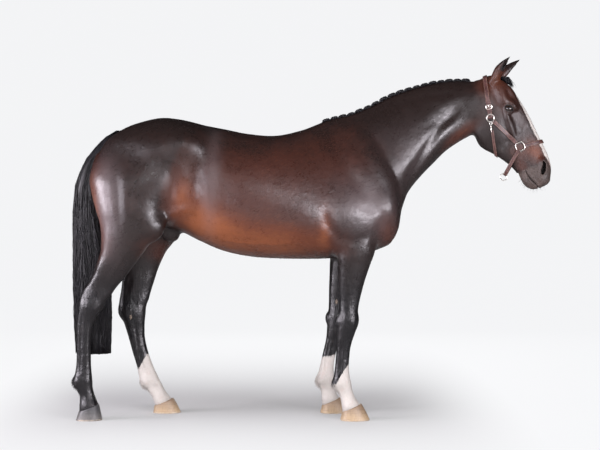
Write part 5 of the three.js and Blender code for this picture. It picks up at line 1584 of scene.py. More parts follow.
def hairs(roots, tips, sag, width):
    t = np.linspace(0, 1, HAIR_STEPS)[None, :, None]
    bow = np.asarray(sag)[None, None] * (t * (1 - t)) * 4
    path = roots[:, None] * (1 - t) + tips[:, None] * t + bow
    wide = width * (1 - 0.85 * t[..., 0] ** 1.5) * np.ones((len(roots), 1))
    return tubes(path, wide, corners=HAIR_CORNERS)


def feelers():
    weight = is_head * (smooth((sm - 560) / 60) * (um < 20) * 1.0 + 1.5 * (sm > 580) * (um < -40))
    roots, normal = places_on(weight, 130)
    long_ = coat_rng.uniform(12, 30, (130, 1))
    aim = unit(normal + 0.4 * turned_way(s_way) + coat_rng.normal(0, 0.15, (130, 3)))
    return roots, *hairs(roots - normal, roots + aim * long_, (0, 0, -1.5), 0.55)


def lashes():
    roots, tips = [], []
    for side in (RIGHT, LEFT):
        for q in np.linspace(-0.82, 0.92, 44):
            a = LID["half"] * 1.08 * q
            b = (LID["upper"] + 2.2) * (1 - q * q)
            y = sqrt(max((EYE["radius"] + 2.6) ** 2 - a * a - b * b, 1))
            out = np.array([0, side, 0.0])
            p = EYE_AT * [1, side, 1] + a_way * a + b_way * b + out * y
            jitter = coat_rng.normal(0, 0.08)
            roots.append(p)
            tips.append(p + (out * 0.86 + b_way * 0.05 + a_way * (0.30 * q + jitter)
                             - np.array([0, 0, 0.42])) * coat_rng.uniform(8, 13))
    roots, tips = turned(np.array(roots)), turned(np.array(tips))
    return roots, *hairs(roots, tips, (0, 0, 0.8), 0.75)


def ear_hair():
    roots, tips = [], []
    for spec in EARS.values():
        for _ in range(520):
            t = coat_rng.uniform(0.40, 0.93)
            wide, deep = columns_at(EAR_ROWS, t)
            q = coat_rng.choice([-1, 1])
            v, w = q * (wide - 3.0), coat_rng.uniform(-0.25, 0.12) * deep
            base = spec["from"] + spec["axis"] * t * spec["length"]
            shift = -10 * sin(pi * t)
            p = base + spec["across"] * v + spec["open"] * (w + shift)
            way = -q * spec["across"] * 0.55 + spec["axis"] * 0.75 + spec["open"] * 0.35
            roots.append(p)
            tips.append(p + way * coat_rng.uniform(5, 13) * (1.1 - 0.6 * t))
    roots, tips = np.array(roots), np.array(tips)
    return roots, *hairs(roots, tips, (0, 0, 0.5), 0.9)


fine_sets = [feelers(), lashes(), ear_hair()]
fine_roots = np.concatenate([r for r, _, _ in fine_sets])
fine_hair = mesh_object("coat_fine", *merged([(p, f) for _, p, f in fine_sets]))
paint(fine_hair, fine_roots, HAIR_STEPS * HAIR_CORNERS, coat_rng)
give_map(fine_hair, fine_roots, HAIR_STEPS * HAIR_CORNERS)
tuft_coat = coat_finish("coat_tufts", gloss=0.35)
fine_dark = Finish("fine_dark_hair", (0.008, 0.007, 0.007), 0.5)
shade = fine_dark.noise(fine_dark.here(), 120.0, 2.0)
fine_dark.color(fine_dark.mix(shade.step(0.3, 0.7), (0.006, 0.005, 0.005), (0.03, 0.022, 0.018)))
for piece in COAT_PIECES:
    piece.data.materials.append(tuft_coat.mat)
fine_hair.data.materials.append(fine_dark.mat)
for piece in (*COAT_PIECES, fine_hair):
    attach(piece, "root")
print("fine hair:", triangles(fine_hair))

# %% [markdown]
# ## Eyes
# A horse's eye is large and dark, with a brown iris and an oblong pupil lying level. Only the clear
# dome in front catches light, so it is a smooth ball with a slight bulge where the dome is.

# %% Eyeballs
def eyeball(name, side):
    rows, count = 30, 56
    polar = np.linspace(0, pi, rows + 1)[1:-1]
    around = np.arange(count) * 2 * pi / count
    local = np.array([(0, 0, 1), *((sin(p) * cos(q), sin(p) * sin(q), cos(p))
                                   for p in polar for q in around), (0, 0, -1)])
    dome = 1 + 0.035 * smooth((local[:, 2] - 0.62) / 0.2)
    points = EYE_AT * [1, side, 1] + EYE["radius"] * 0.985 * dome[:, None] * (
        local[:, :1] * a_way + local[:, 1:2] * b_way + local[:, 2:] * [0.0, side, 0.0])
    last = len(points) - 1
    faces = [(0, 1 + i, 1 + (i + 1) % count) for i in range(count)]
    faces += [tuple(k + 1 for k in f) for f in ring_faces(rows - 1, count, caps=False, down=True)]
    faces += [(last, last - count + (i + 1) % count, last - count + i) for i in range(count)]
    if side == LEFT:
        faces = [f[::-1] for f in faces]
    ob = mesh_object(name, turned(points), faces)
    store(ob, "in_eye", local)
    return ob


eye = Finish("eye", (0.02, 0.01, 0.006), 0.06, IOR=1.38, Coat_Weight=0.6, Coat_Roughness=0.03)
ex, ey, _ = eye.split(eye.attribute("in_eye"))
out = (ex * ex + ey * ey).power(0.5)
level = radians(4)
px, py = ex * cos(level) - ey * sin(level), ex * sin(level) + ey * cos(level)
pupil = (px * px * 6.5 + py * py * 26.0).power(0.5)
rays = eye.noise(eye.node("CombineXYZ", X=ex * 9.0, Y=ey * 9.0, Z=out * 1.5), 3.0, 3.0)
iris = eye.mix(rays.step(0.3, 0.75), (0.010, 0.005, 0.003), (0.030, 0.013, 0.006))
tone = eye.mix(pupil.step(0.93, 1.06), (0.004, 0.005, 0.008), iris)
tone = eye.mix(out.step(0.60, 0.70), tone, (0.010, 0.006, 0.005))
tone = eye.mix(out.step(0.84, 0.94), tone, (0.10, 0.075, 0.065))
eye.color(tone)
for side, name in ((RIGHT, "eye_right"), (LEFT, "eye_left")):
    ball = eyeball("ball_" + name, side)
    ball.data.materials.append(eye.mat)
    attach(ball, "root")
    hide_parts(name)
print("eyeballs:", 2, "of radius", EYE["radius"])

# %% [markdown]
# ## Hooves
# The wall of a hoof is horn that grows down from the coronet, so it carries level growth rings and
# fine upright fibres. It is widest at the ground, with two soft bulbs at the heel. Three hooves
# are pale under white socks; the near hind one is grey, with a worn pale rim.

# %% Hoof shapes
CORONET_HALF = 49          # half of the hoof's width at the coronet
BULB_GROOVE = 5.0          # depth of the groove between the bulbs


def hoof(name, spec):
    rows, count = 22, 72
    side, xf, xb = spec["side"], spec["front"][0], spec["back"][0]
    points = []
    for r in range(rows + 1):
        t = r / rows
        grown = 0.45 * sin(t * 46) * (1 - t) ** 0.4 * (0 < r < rows)       # growth rings
        for i in range(count):
            a = 2 * pi * i / count
            c, n = cos(a), sin(a)
            x0, x1 = xb + (spec["heel"] - xb) * t, xf + (spec["toe"] - xf) * t
            width = CORONET_HALF + (spec["half"] - CORONET_HALF) * sqrt(t)
            reach = c if c > 0 else -((-c) ** 0.7)
            middle = (x0 + x1) / 2
            x = middle + (x1 - x0) / 2 * reach
            y = width * (1 if n > 0 else -1) * abs(n) ** 0.9
            x += max(0.0, -c) ** 6 * BULB_GROOVE * np.exp(-(y / 9) ** 2) * (1 - t * 0.4)
            k = 1 + grown / 60 - 0.02 * (r == rows) - 0.035 * (r == 0)
            points.append(((x - middle) * k + middle, side * HOOF_Y + y * k,
                           coronet_height(spec, x) * (1 - t)))
    faces = ring_faces(rows + 1, count, caps=False, down=True)
    middle = (spec["heel"] + spec["toe"]) / 2
    top_mid = (xf + xb) / 2
    points += [(top_mid, side * HOOF_Y, coronet_height(spec, top_mid)),
               (middle, side * HOOF_Y, 0)]
    n = len(points)
    faces += [(n - 2, i, (i + 1) % count) for i in range(count)]
    base = rows * count
    faces += [(n - 1, base + (i + 1) % count, base + i) for i in range(count)]
    return mesh_object(name, points, faces)


def hoof_finish(name, upper, lower, fleck):
    f = Finish(name, upper, 0.42)
    here = f.here()
    z = f.split(here)[2]
    fibres = f.noise(f.scaled(here, (260, 260, 22)), 1.0, 3.0, 0.6)
    rings = f.noise(f.scaled(here, (9, 9, 190)), 1.0, 2.0)
    worn = f.noise(here, 38.0, 4.0, 0.65)
    tone = f.mix(z.step(0.004, 0.075), lower, upper)
    tone = f.mix(fibres.step(0.45, 0.75) * 0.5, tone, fleck)
    tone = f.mix(rings.step(0.5, 0.72) * 0.4, tone, fleck)
    rim = (1.0 - z.step(0.003, 0.012)) * worn.step(0.35, 0.7)
    f.color(f.mix(rim * 0.8, tone, (0.45, 0.38, 0.30)))
    f.rough((0.34 + worn * 0.28).clamp())
    f.bump(rings + fibres * 0.5, 0.0012, 0.6)
    return f


pale_horn = hoof_finish("pale_horn", (0.22, 0.155, 0.10), (0.37, 0.27, 0.165), (0.12, 0.08, 0.055))
dark_horn = hoof_finish("dark_horn", (0.040, 0.040, 0.042), (0.11, 0.105, 0.10),
                        (0.018, 0.018, 0.02))
for name, spec in HOOVES.items():
    is_dark = name == "hind_right"
    piece = hoof("horn_" + name, spec)
    piece.data.materials.append((dark_horn if is_dark else pale_horn).mat)
    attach(piece, "root")
    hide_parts("hoof_" + name)
print("hooves:", len(HOOVES))

# %% [markdown]
# ## Tail
# The tail is some hundreds of locks that leave the dock one behind another and hang straight down,
# cut off level below. Each lock is a thin three-sided tube with a slight wave. A dark core fills
# the inside, where locks would never be seen.

# %% Tail locks
rng = np.random.default_rng(7)
TAIL = np.array([   # height, back edge, front edge, half width
    [1620, -1104, -1066, 10], [1596, -1149, -1084, 20], [1562, -1190, -1106, 30],
    [1505, -1243, -1140, 44], [1449, -1283, -1172, 54], [1392, -1311, -1196, 60],
    [1300, -1341, -1212, 68], [1200, -1351, -1200, 75], [1100, -1354, -1184, 80],
    [1000, -1355, -1156, 83], [900, -1355, -1142, 84], [740, -1353, -1128, 84],
    [560, -1350, -1127, 82], [430, -1344, -1129, 78], [352, -1338, -1132, 74]])[::-1]


def tail_point(z, angle, reach):
    """A point in the tail's section at a height; reach is 0 in its middle and 1 on its surface."""
    back, front, half = columns_at(TAIL, z)
    c, n = np.cos(angle), np.sin(angle)
    x = (back + front) / 2 + (front - back) / 2 * reach * np.sign(c) * np.abs(c) ** 0.85
    return np.stack([x, half * reach * np.sign(n) * np.abs(n) ** 0.85, z], -1)


LOCKS, LOCK_STEPS = 760, 17
DOCK, DOCK_SPAN, BANG = 1617, 410, 354      # top of the dock, height it spans, level cut below
WAVE = 0.035
angle = rng.uniform(0, 2 * pi, LOCKS)
reach = np.where(rng.random(LOCKS) < 0.72, rng.uniform(0.88, 0.99, LOCKS),
                 rng.uniform(0.5, 0.9, LOCKS))
start = DOCK - DOCK_SPAN * rng.random(LOCKS) ** 1.5
end = BANG + rng.uniform(0, 9, LOCKS) + 6 * (1 - reach)
t = np.linspace(0, 1, LOCK_STEPS)
z = start[:, None] + (end - start)[:, None] * t
grow = smooth(t / 0.16)
wave = WAVE * np.sin(z / rng.uniform(55, 150, LOCKS)[:, None]
                     + rng.uniform(0, 6.28, LOCKS)[:, None])
drift = 0.22 * (t - 0.5) * rng.normal(0, 1, LOCKS)[:, None]
paths = tail_point(z, angle[:, None] + wave * 2.4 + drift,
                   reach[:, None] * (0.8 + 0.2 * grow) * (1 - 0.35 * np.abs(wave) / WAVE * 0.2))
lock_wide = (rng.uniform(4.0, 9.0, LOCKS)[:, None] * (0.45 + 0.55 * smooth(t / 0.12))
             * (1 - 0.45 * t**3))
tail = mesh_object("tail_locks", *tubes(paths, lock_wide, corners=3, flat=0.7))

CORE_RINGS, CORE_SIDES = 40, 24
core_a = np.linspace(0, 2 * pi, CORE_SIDES + 1)[:-1]
core = [tail_point(np.full(CORE_SIDES, h), core_a, 0.86 * smooth((DOCK + 5 - h) / 30) + 0.05)
        for h in np.linspace(DOCK - 1, BANG + 3, CORE_RINGS)]
core_faces = [f[::-1] for f in ring_faces(CORE_RINGS, CORE_SIDES)]
tail_core = mesh_object("tail_core", np.concatenate(core), core_faces)
print("tail:", LOCKS, "locks,", triangles(tail), "triangles")

# %% Finish of the long hair
long_hair = Finish("black_hair", (0.0042, 0.0038, 0.0042), 0.42, Specular_IOR_Level=0.26)
here = long_hair.here()
fine = long_hair.noise(long_hair.scaled(here, (500, 500, 12)), 1.0, 3.0, 0.65)
broad = long_hair.noise(long_hair.scaled(here, (60, 60, 5)), 1.0, 2.0)
long_hair.color(long_hair.mix((fine * 0.6 + broad * 0.6).step(0.45, 0.85),
                              (0.0042, 0.0038, 0.0042), (0.013, 0.0125, 0.0155)))
long_hair.rough((0.36 + (fine - 0.5) * 0.3).clamp())
long_hair.bump(fine, 0.0006, 0.6)
for piece in (tail, tail_core):
    piece.data.materials.append(long_hair.mat)
    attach(piece, "root")
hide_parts("tail")
print("black hair on", tail.name, "and", tail_core.name)

# %% [markdown]
# ## Plaited mane and forelock
# For a show the mane is plaited in small bunches and each plait is folded under and sewn into a
# knot on the crest. One knot is three strands braided round each other and bent into a bun. The
# knots repeat along the crest with Geometry Nodes, each turned with the neck. Between them, short
# flat locks are drawn from the crest into the knots.

# %% One knot of braided hair
MANE = dict(first=84, last=872, knots=18)


def crest(x):
    """Place on the top line of the neck at x, in its own middle plane, and the way of the crest."""
    x = np.atleast_1d(np.asarray(x, float))
    a = turn_at(x)
    px, py = TURN_X + (x - TURN_X) * np.cos(a), -(x - TURN_X) * np.sin(a)
    low, high = np.full(len(x), 1500.0), np.full(len(x), 2100.0)
    for _ in range(16):
        middle = (low + high) / 2
        inside = body(np.stack([px, py, middle], 1), fine=False) < 0
        low, high = np.where(inside, middle, low), np.where(inside, high, middle)
    return np.stack([px, py, low], 1)


def braid(path_points, radius, strand, turns, corners=6, steps=26):
    """Three strands braided along a path given as a function of 0..1 -> point, side, up."""
    paths = []
    for k in range(3):
        t = np.linspace(0, 1, steps)
        a = 2 * pi * (turns * t + k / 3)
        p, side, up = path_points(t)
        paths.append(p + side * (radius * np.sin(a))[:, None]
                     + up * (0.55 * radius * np.sin(2 * a))[:, None])
    widths = np.full((3, steps), strand) * (1 - 0.55 * np.abs(np.linspace(-1, 1, steps)) ** 6)
    return tubes(np.array(paths), widths, corners=corners, across=(0, 1, 0.01))


def bun(t):
    """A flat loop: along the crest is X, up is Z."""
    a = pi * (0.15 + 1.7 * t)
    p = np.stack([16.5 * np.sin(a), 2.5 * np.cos(3 * a), 1.0 - 5.5 * np.cos(a)], 1)
    up = np.stack([np.sin(a), 0 * a, -np.cos(a)], 1)
    return p, np.stack([0 * a, 1 + 0 * a, 0 * a], 1), up


knot = mesh_object("knot_of_mane", *braid(bun, 5.6, 10.5, 2.5))
at_x = np.linspace(MANE["first"], MANE["last"], MANE["knots"])
feet = crest(at_x)
slope = np.gradient(feet, axis=0)
jitter = rng.uniform(0.88, 1.12, len(feet))
print("one knot:", triangles(knot), "triangles")

# %% Geometry Nodes that set a shape on marked places
def placing_tree(name):
    """Copies of a shape on points, turned so that X follows the attribute 'way'; made real."""
    tree = bpy.data.node_groups.new(name, "GeometryNodeTree")
    for label, in_out, kind in (("Geometry", "INPUT", "Geometry"), ("Shape", "INPUT", "Object"),
                                ("Finish", "INPUT", "Material"), ("Geometry", "OUTPUT", "Geometry")):
        tree.interface.new_socket(label, in_out=in_out, socket_type="NodeSocket" + kind)
    node = {label: tree.nodes.new(kind) for label, kind in (
        ("start", "NodeGroupInput"), ("end", "NodeGroupOutput"), ("shape", "GeometryNodeObjectInfo"),
        ("put", "GeometryNodeInstanceOnPoints"), ("real", "GeometryNodeRealizeInstances"),
        ("finish", "GeometryNodeSetMaterial"), ("turn", "FunctionNodeAlignRotationToVector"),
        ("lift", "FunctionNodeAlignRotationToVector"), ("way", "GeometryNodeInputNamedAttribute"),
        ("up", "GeometryNodeInputNamedAttribute"), ("size", "GeometryNodeInputNamedAttribute"))}
    for label in ("way", "up", "size"):
        node[label].data_type = "FLOAT" if label == "size" else "FLOAT_VECTOR"
        node[label].inputs["Name"].default_value = label
    node["turn"].axis, node["lift"].axis, node["lift"].pivot_axis = "X", "Z", "X"
    for source, output, target, socket in (
            ("start", "Geometry", "put", "Points"), ("start", "Shape", "shape", "Object"),
            ("shape", "Geometry", "put", "Instance"), ("way", "Attribute", "turn", "Vector"),
            ("turn", "Rotation", "lift", "Rotation"), ("up", "Attribute", "lift", "Vector"),
            ("lift", "Rotation", "put", "Rotation"), ("size", "Attribute", "put", "Scale"),
            ("put", "Instances", "real", "Geometry"), ("real", "Geometry", "finish", "Geometry"),
            ("start", "Finish", "finish", "Material"), ("finish", "Geometry", "end", "Geometry")):
        tree.links.new(node[source].outputs[output], node[target].inputs[socket])
    return tree


PLACING = placing_tree("set_on_places")


def scatter(name, shape, places, ways, ups, sizes, finish):
    """Sets copies of a shape on places (in millimetres) and returns one plain mesh."""
    ob = mesh_object(name + "_places", places, [])
    for label, data in (("way", ways), ("up", ups), ("size", sizes)):
        store(ob, label, data)
    modifier = ob.modifiers.new("places", "NODES")
    modifier.node_group = PLACING
    names = {item.name: item.identifier for item in PLACING.interface.items_tree
             if item.item_type == "SOCKET" and item.in_out == "INPUT"}
    modifier[names["Shape"]] = shape
    modifier[names["Finish"]] = finish.mat
    graph = bpy.context.evaluated_depsgraph_get()
    graph.update()
    mesh = bpy.data.meshes.new_from_object(ob.evaluated_get(graph))
    ob.modifiers.remove(modifier)
    made = bpy.data.objects.new(name, mesh)
    bpy.context.scene.collection.objects.link(made)
    bpy.data.objects.remove(ob)
    mesh.polygons.foreach_set("use_smooth", np.full(len(mesh.polygons), True))
    return made


plaits = scatter("mane_plaits", knot, feet + np.array([0, -6.0, -1.5]), slope,
                 np.tile([0.0, -0.25, 1.0], (len(feet), 1)), jitter, long_hair)
bpy.data.objects.remove(knot)
print("mane:", len(feet), "knots,", triangles(plaits), "triangles")

# %% Roots of the mane, drawn into the knots
PER_KNOT, STEPS = 110, 7
paths, widths = [], []
for i, x in enumerate(at_x):
    spread = rng.uniform(-27, 27, PER_KNOT)
    out = rng.uniform(-24, 20, PER_KNOT)
    root = crest(x + spread)
    aim = feet[i] + np.array([0, -3, 0]) + rng.normal(0, 3.0, (PER_KNOT, 3)) * [1, 1, 0.3]
    t = np.linspace(0, 1, STEPS)[None, :, None]
    line = root[:, None] * (1 - t) + aim[:, None] * t
    line[:, :, 1] += out[:, None] * (1 - t[..., 0]) ** 1.2
    line[:, :, 2] += 3 * np.sin(pi * t[..., 0]) + 3.0 * t[..., 0] ** 2
    top = crest(line[:, :, 0].ravel())[:, 2].reshape(line.shape[:2])
    aside = line[:, :, 1] + (line[:, :, 0] - TURN_X) * np.sin(turn_at(line[:, :, 0]))
    drop = np.abs(aside) ** 2 / 90
    line[:, :, 2] = np.maximum(line[:, :, 2] - drop, top - drop - 0.5)
    paths.append(line)
    swell = 0.75 + 0.25 * np.sin(pi * np.linspace(0, 1, STEPS))
    widths.append(rng.uniform(4.0, 7.5, (PER_KNOT, 1)) * swell)
locks = tubes(np.concatenate(paths), np.concatenate(widths), corners=4, flat=0.6)
roots = mesh_object("mane_roots", *locks, long_hair)
print("roots of the mane:", triangles(roots), "triangles")

# %% Forelock: one larger knot between the ears, and the loose ends under it
lock_at = turned(face3(50, 72, 4))[0]


def forelock_loop(t):
    a = pi * (0.1 + 1.8 * t)
    p = (lock_at + s_way * (-14 * np.cos(a))[:, None] + u_way * (3 + 9 * np.sin(a))[:, None]
         + np.array([0, 1.0, 0]) * (3 * np.cos(2 * a))[:, None])
    up = u_way * np.sin(a)[:, None] - s_way * np.cos(a)[:, None]
    return p, np.tile([0.0, 1.0, 0.0], (len(t), 1)), up


plait = braid(forelock_loop, 9.0, 14.0, 2.5, corners=8, steps=40)
n_loose = 90
t = np.linspace(0, 1, 9)[None, :, None]
spread = rng.normal(0, 1, (n_loose, 3))
first = face3(22, 52, 0) + spread * [6, 15, 4]
second = face3(62, 82, 3) + spread * [8, 12, 8]
third = face3(92, 80, 5) + rng.normal(0, 1, (n_loose, 3)) * [9, 14, 7]
curve = (first[:, None] * (1 - t) ** 2 + 2 * second[:, None] * t * (1 - t) + third[:, None] * t**2)
curve += u_way * 8 * np.sin(pi * t)
curve = turned(curve.reshape(-1, 3)).reshape(curve.shape)
wide = rng.uniform(2.5, 5.0, (n_loose, 1)) * (1 - 0.8 * np.linspace(0, 1, 9) ** 2)
loose = tubes(curve, wide, corners=3, flat=0.7)
forelock = mesh_object("forelock_plait", *merged([plait, loose]), long_hair)
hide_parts("mane")
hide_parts("forelock")
for piece in (plaits, roots, forelock):
    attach(piece, "root")
print("roots:", triangles(roots), "forelock:", triangles(forelock))


# %% [markdown]
# ## Headcollar
# A headcollar is cut from bridle leather: straps with rounded, inked edges and a line of stitching
# along each. Every strap is let down onto the skin at both edges before it gets its thickness, so
# it lies on the head as leather does. The stitches are one small shape repeated along the straps
# with Geometry Nodes. Rings, buckle and snap are cast metal.

# %% Straps that lie on the skin
def meet_skin(points, inward):
    """Steps in from outside towards the head until the skin is met."""
    p = np.array(points, float)
    for _ in range(60):
        d = body(turned(p), fine=False)
        if (d < 0.3).all():
            break
        p = p + inward * np.clip(0.75 * d, 0, 30)[:, None]
    return p


def run_of(line):
    """Distance along a line of points at each of them."""
    return np.concatenate([[0], np.cumsum(np.linalg.norm(np.diff(line, axis=0), axis=1))])


def evened(line, rounds):
    """Evens out a line of points, in place; its ends stay."""
    for _ in range(rounds):
        line[1:-1] = (line[:-2] + 2 * line[1:-1] + line[2:]) / 4
    return line


def smooth_path(points, count):
    """A smooth curve through points, at even places."""
    points = np.array(points, float)
    rows = np.column_stack([np.arange(len(points)), points])
    _, _, table = smooth_rows(rows, 400)
    table = np.column_stack([run_of(table), table])
    return np.stack(columns_at(table, np.linspace(0, table[-1, 0], count)), 1)


PROFILE = np.array([   # a strap's section: across -0.5..0.5, height 0..1 of its thickness
    (-0.47, 0.0), (-0.5, 0.3), (-0.5, 0.62), (-0.475, 0.9), (-0.42, 1.0), (-0.36, 0.97),
    (-0.2, 1.04), (0.0, 1.08), (0.2, 1.04), (0.36, 0.97), (0.42, 1.0), (0.475, 0.9), (0.5, 0.62),
    (0.5, 0.3), (0.47, 0.0)])
stitch_places, stitch_ways, stitch_ups = [], [], []


STITCH_EDGE, STITCH_PITCH = 0.36, 4.6       # part of the strap's width; distance between stitches


def strap(name, on, start, width, thick=4.0, lift=3.2, free=False, count=64):
    """A strap through places on the head, each facing a place inside it (head not turned)."""
    both = smooth_path(np.column_stack([on, start]), count)
    on, start = both[:, :3], both[:, 3:]
    out = unit(on - start)
    middle = evened(on if free else meet_skin(on + 60 * out, -out), 3)
    along = unit(np.gradient(middle, axis=0))
    across = unit(np.cross(along, out))
    up = unit(np.cross(across, along))
    sides = []
    for k in (-0.5, 0.5):
        edge = middle + across * k * width
        sides.append(evened(edge if free else meet_skin(edge + out * 40, -out), 4))
    base = lambda k: sides[0] * (0.5 - k) + sides[1] * (0.5 + k)
    rings = np.stack([base(k) + up * (lift + thick * h) for k, h in PROFILE], 1)
    n = len(PROFILE)
    ob = mesh_object(name, turned(rings.reshape(-1, 3)), ring_faces(count, n))
    face_outward(ob)
    run = run_of(middle)
    store(ob, "strap", np.column_stack([np.repeat(run * MM, n), np.tile(PROFILE, (count, 1))]))
    at = np.arange(8, run[-1] - 8, STITCH_PITCH)
    for k in (-STITCH_EDGE, STITCH_EDGE):
        line = np.column_stack([run, base(k) + up * (lift + thick), along, up])
        place, way, high = np.split(np.stack(columns_at(line, at), 1), 3, axis=1)
        stitch_places.append(turned(place))
        stitch_ways.append(turned_way(way))
        stitch_ups.append(turned_way(high))
    return ob


def arc(centre, second, start, end, count):
    """Places round an arc across the head, in the plane of a direction of its side view."""
    a = np.radians(np.linspace(start, end, count))
    k = 100 * np.sin(a) / hypot(*second)
    on = np.stack([face3(centre[0] + second[0] * d, centre[1] + second[1] * d, 100 * cos(b))
                   for d, b in zip(k, a)])
    return on, np.repeat(face3(*centre, 0)[None], count, 0)


def cheek(side, places):
    return (np.stack([face3(s, u, side * 110) for s, u in places]),
            np.stack([face3(s, u, 0) for s, u in places]))


# %% Leather and metal finishes
leather = Finish("bridle_leather", (0.040, 0.016, 0.014), 0.42,
                 Coat_Weight=0.12, Coat_Roughness=0.3)
here = leather.here()
run, across, high = leather.split(leather.attribute("strap"))
grain = leather.noise(here, 700.0, 3.0, 0.6)
wear = leather.noise(here, 60.0, 3.0, 0.6)
edge = across.abs().step(0.44, 0.5)
tone = leather.mix(wear.step(0.35, 0.75), (0.036, 0.0135, 0.0125), (0.085, 0.034, 0.030))
tone = leather.mix(edge * 0.75, tone, (0.014, 0.006, 0.006))
tone = leather.mix((1.0 - edge) * across.abs().step(0.30, 0.36) * 0.35, tone, (0.12, 0.055, 0.042))
leather.color(tone)
leather.rough((0.36 + wear * 0.2).clamp())
leather.bump(grain + wear * 0.6, 0.0005, 0.5)

metal = Finish("cast_metal", (0.72, 0.69, 0.62), 0.24, Metallic=1.0)
tarnish = metal.noise(metal.here(), 90.0, 4.0, 0.65)
scratch = metal.noise(metal.scaled(metal.here(), (900, 900, 120)), 1.0, 2.0)
metal.color(metal.mix(tarnish.step(0.45, 0.75), (0.78, 0.76, 0.71), (0.42, 0.36, 0.27)))
metal.rough((0.16 + tarnish * 0.25 + (scratch - 0.5) * 0.1).clamp())
metal.bump(scratch, 0.0002, 0.4)

thread = Finish("waxed_thread", (0.30, 0.22, 0.14), 0.7)
twist = thread.noise(thread.here(), 1600.0, 2.0)
thread.color(thread.mix(twist.step(0.3, 0.7), (0.16, 0.105, 0.065), (0.42, 0.32, 0.22)))
print("finishes:", leather.mat.name, metal.mat.name, thread.mat.name)

# %% The straps
SIDES = ((RIGHT, "right"), (LEFT, "left"))
STRAPS = {
    "crown": strap("crown_strap", *arc((86, -62), (-240, 74), -57, 237, 15), 24,
                   lift=3.5, count=120),
    "noseband": strap("nose_strap", *arc((428, 10), (23, 122), -8, 188, 13), 22, count=90),
    "throat": strap("throat_strap", *arc((300, -130), (217, -73), -44, 202, 13), 16,
                    lift=3, count=90)}
CHEEK_LINE = [(226, -92), (236, -88), (275, -74), (315, -59), (355, -45), (390, -33), (400, -30)]
for side, name in SIDES:
    STRAPS["cheek_" + name] = strap("cheek_strap_" + name, *cheek(side, CHEEK_LINE), 22)
chin = [(436, -38, 60), (444, -50, 58), (470, -90, 53), (497, -128, 43), (518, -158, 27),
        (527, -170, 0)]
chin = [(s, u, -y) for s, u, y in chin] + chin[-2::-1]
STRAPS["chin"] = strap("chin_strap", np.array([face3(*p) for p in chin]),
                       np.array([face3(s - 60, u + 100, 0) for s, u, _ in chin]),
                       20, lift=-1, free=True, count=90)
for name, piece in STRAPS.items():
    piece.data.materials.append(leather.mat)
    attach(piece, "root")
    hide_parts("headcollar_" + name)
print("straps:", ", ".join(STRAPS))

# %% Stitching
STITCH_LENGTH, STITCH_RADIUS = 3.1, 0.42
ring_pts = [(x * STITCH_LENGTH, STITCH_RADIUS * w * cos(a), STITCH_RADIUS * w * sin(a) * 0.7)
            for x, w in ((-0.5, 0.35), (-0.25, 1.0), (0.25, 1.0), (0.5, 0.35))
            for a in np.arange(4) * pi / 2]
stitch = mesh_object("one_stitch", ring_pts, [f[::-1] for f in ring_faces(4, 4)])
places, ways, ups = map(np.concatenate, (stitch_places, stitch_ways, stitch_ups))
stitches = scatter("stitches", stitch, places, ways, ups, np.ones(len(places)), thread)
bpy.data.objects.remove(stitch)
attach(stitches, "root")
print("stitches:", len(places), "triangles:", triangles(stitches))

# %% Rings, buckle and snap
def wire_loop(centre, e1, e2, half1, half2, wire, power=2.0, count=56, corners=10):
    """A closed loop of round wire in the plane of e1 and e2; power 2 is an oval, more is squarer."""
    a = np.arange(count) * 2 * pi / count
    c, n = np.cos(a), np.sin(a)
    k = (np.abs(c) ** power + np.abs(n) ** power) ** (-1 / power)
    path = centre + (c * k * half1)[:, None] * e1 + (n * k * half2)[:, None] * e2
    along = unit(np.roll(path, -1, 0) - np.roll(path, 1, 0))
    axis = np.cross(e1, e2)
    out = np.cross(along, axis)
    b = np.arange(corners) * 2 * pi / corners
    rings = path[:, None] + wire * (np.cos(b)[None, :, None] * out[:, None]
                                    + np.sin(b)[None, :, None] * axis)
    return rings.reshape(-1, 3), ring_faces(count, corners, loop=True)


def joined(name, loops, finish):
    points, faces = merged(loops)
    ob = mesh_object(name, turned(points), faces, finish)
    face_outward(ob)
    return ob


def on_cheek(side, s, u):
    """The place on the skin beside (s, u)."""
    return meet_skin(face3(s, u, side * 150)[None], np.array([[0, -side, 0.0]]))[0]


def against_cheek(side, s, u, radius, wire):
    """Middle and plane of a ring that lies on the cheek."""
    above, below = (abs(on_cheek(side, s + k, u)[1]) for k in (-radius, radius))
    e1 = unit(s_way * 2 * radius + np.array([0, side * (below - above), 0]))
    middle = face3(s, u, side * (max(above, below) + wire + 2.5))
    return middle, e1, u_way


for side, name in SIDES:
    middle, e1, e2 = against_cheek(side, 206, -99, 24, 3.2)
    up = joined("upper_ring_" + name, [wire_loop(middle, e1, e2, 20.8, 20.8, 3.2)], metal)
    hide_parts("headcollar_ring_" + name)
    middle, e1, e2 = against_cheek(side, 420, -21, 28, 3.4)
    square = wire_loop(middle, e1, e2, 23.5, 23.5, 3.4, power=3.4)
    low = joined("square_ring_" + name, [square], metal)
    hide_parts("headcollar_square_" + name)
    for piece in (up, low):
        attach(piece, "root")
lead = joined("lead_ring", [wire_loop(face3(532, -178, 0), s_way, u_way, 19.4, 19.4, 2.6)], metal)
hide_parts("headcollar_lead_ring")


def turned_bar(line, radii, corners=12):
    """A round bar with changing thickness along a line."""
    p, q = line
    way = unit(q - p)
    side_way = unit(np.cross(way, [0.1, 1, 0.2]))
    other = np.cross(way, side_way)
    t = np.linspace(0, 1, len(radii))
    a = np.arange(corners) * 2 * pi / corners
    rings = [p + (q - p) * k + r * (np.cos(a)[:, None] * side_way + np.sin(a)[:, None] * other)
             for k, r in zip(t, radii)]
    return np.concatenate(rings), ring_faces(len(radii), corners)


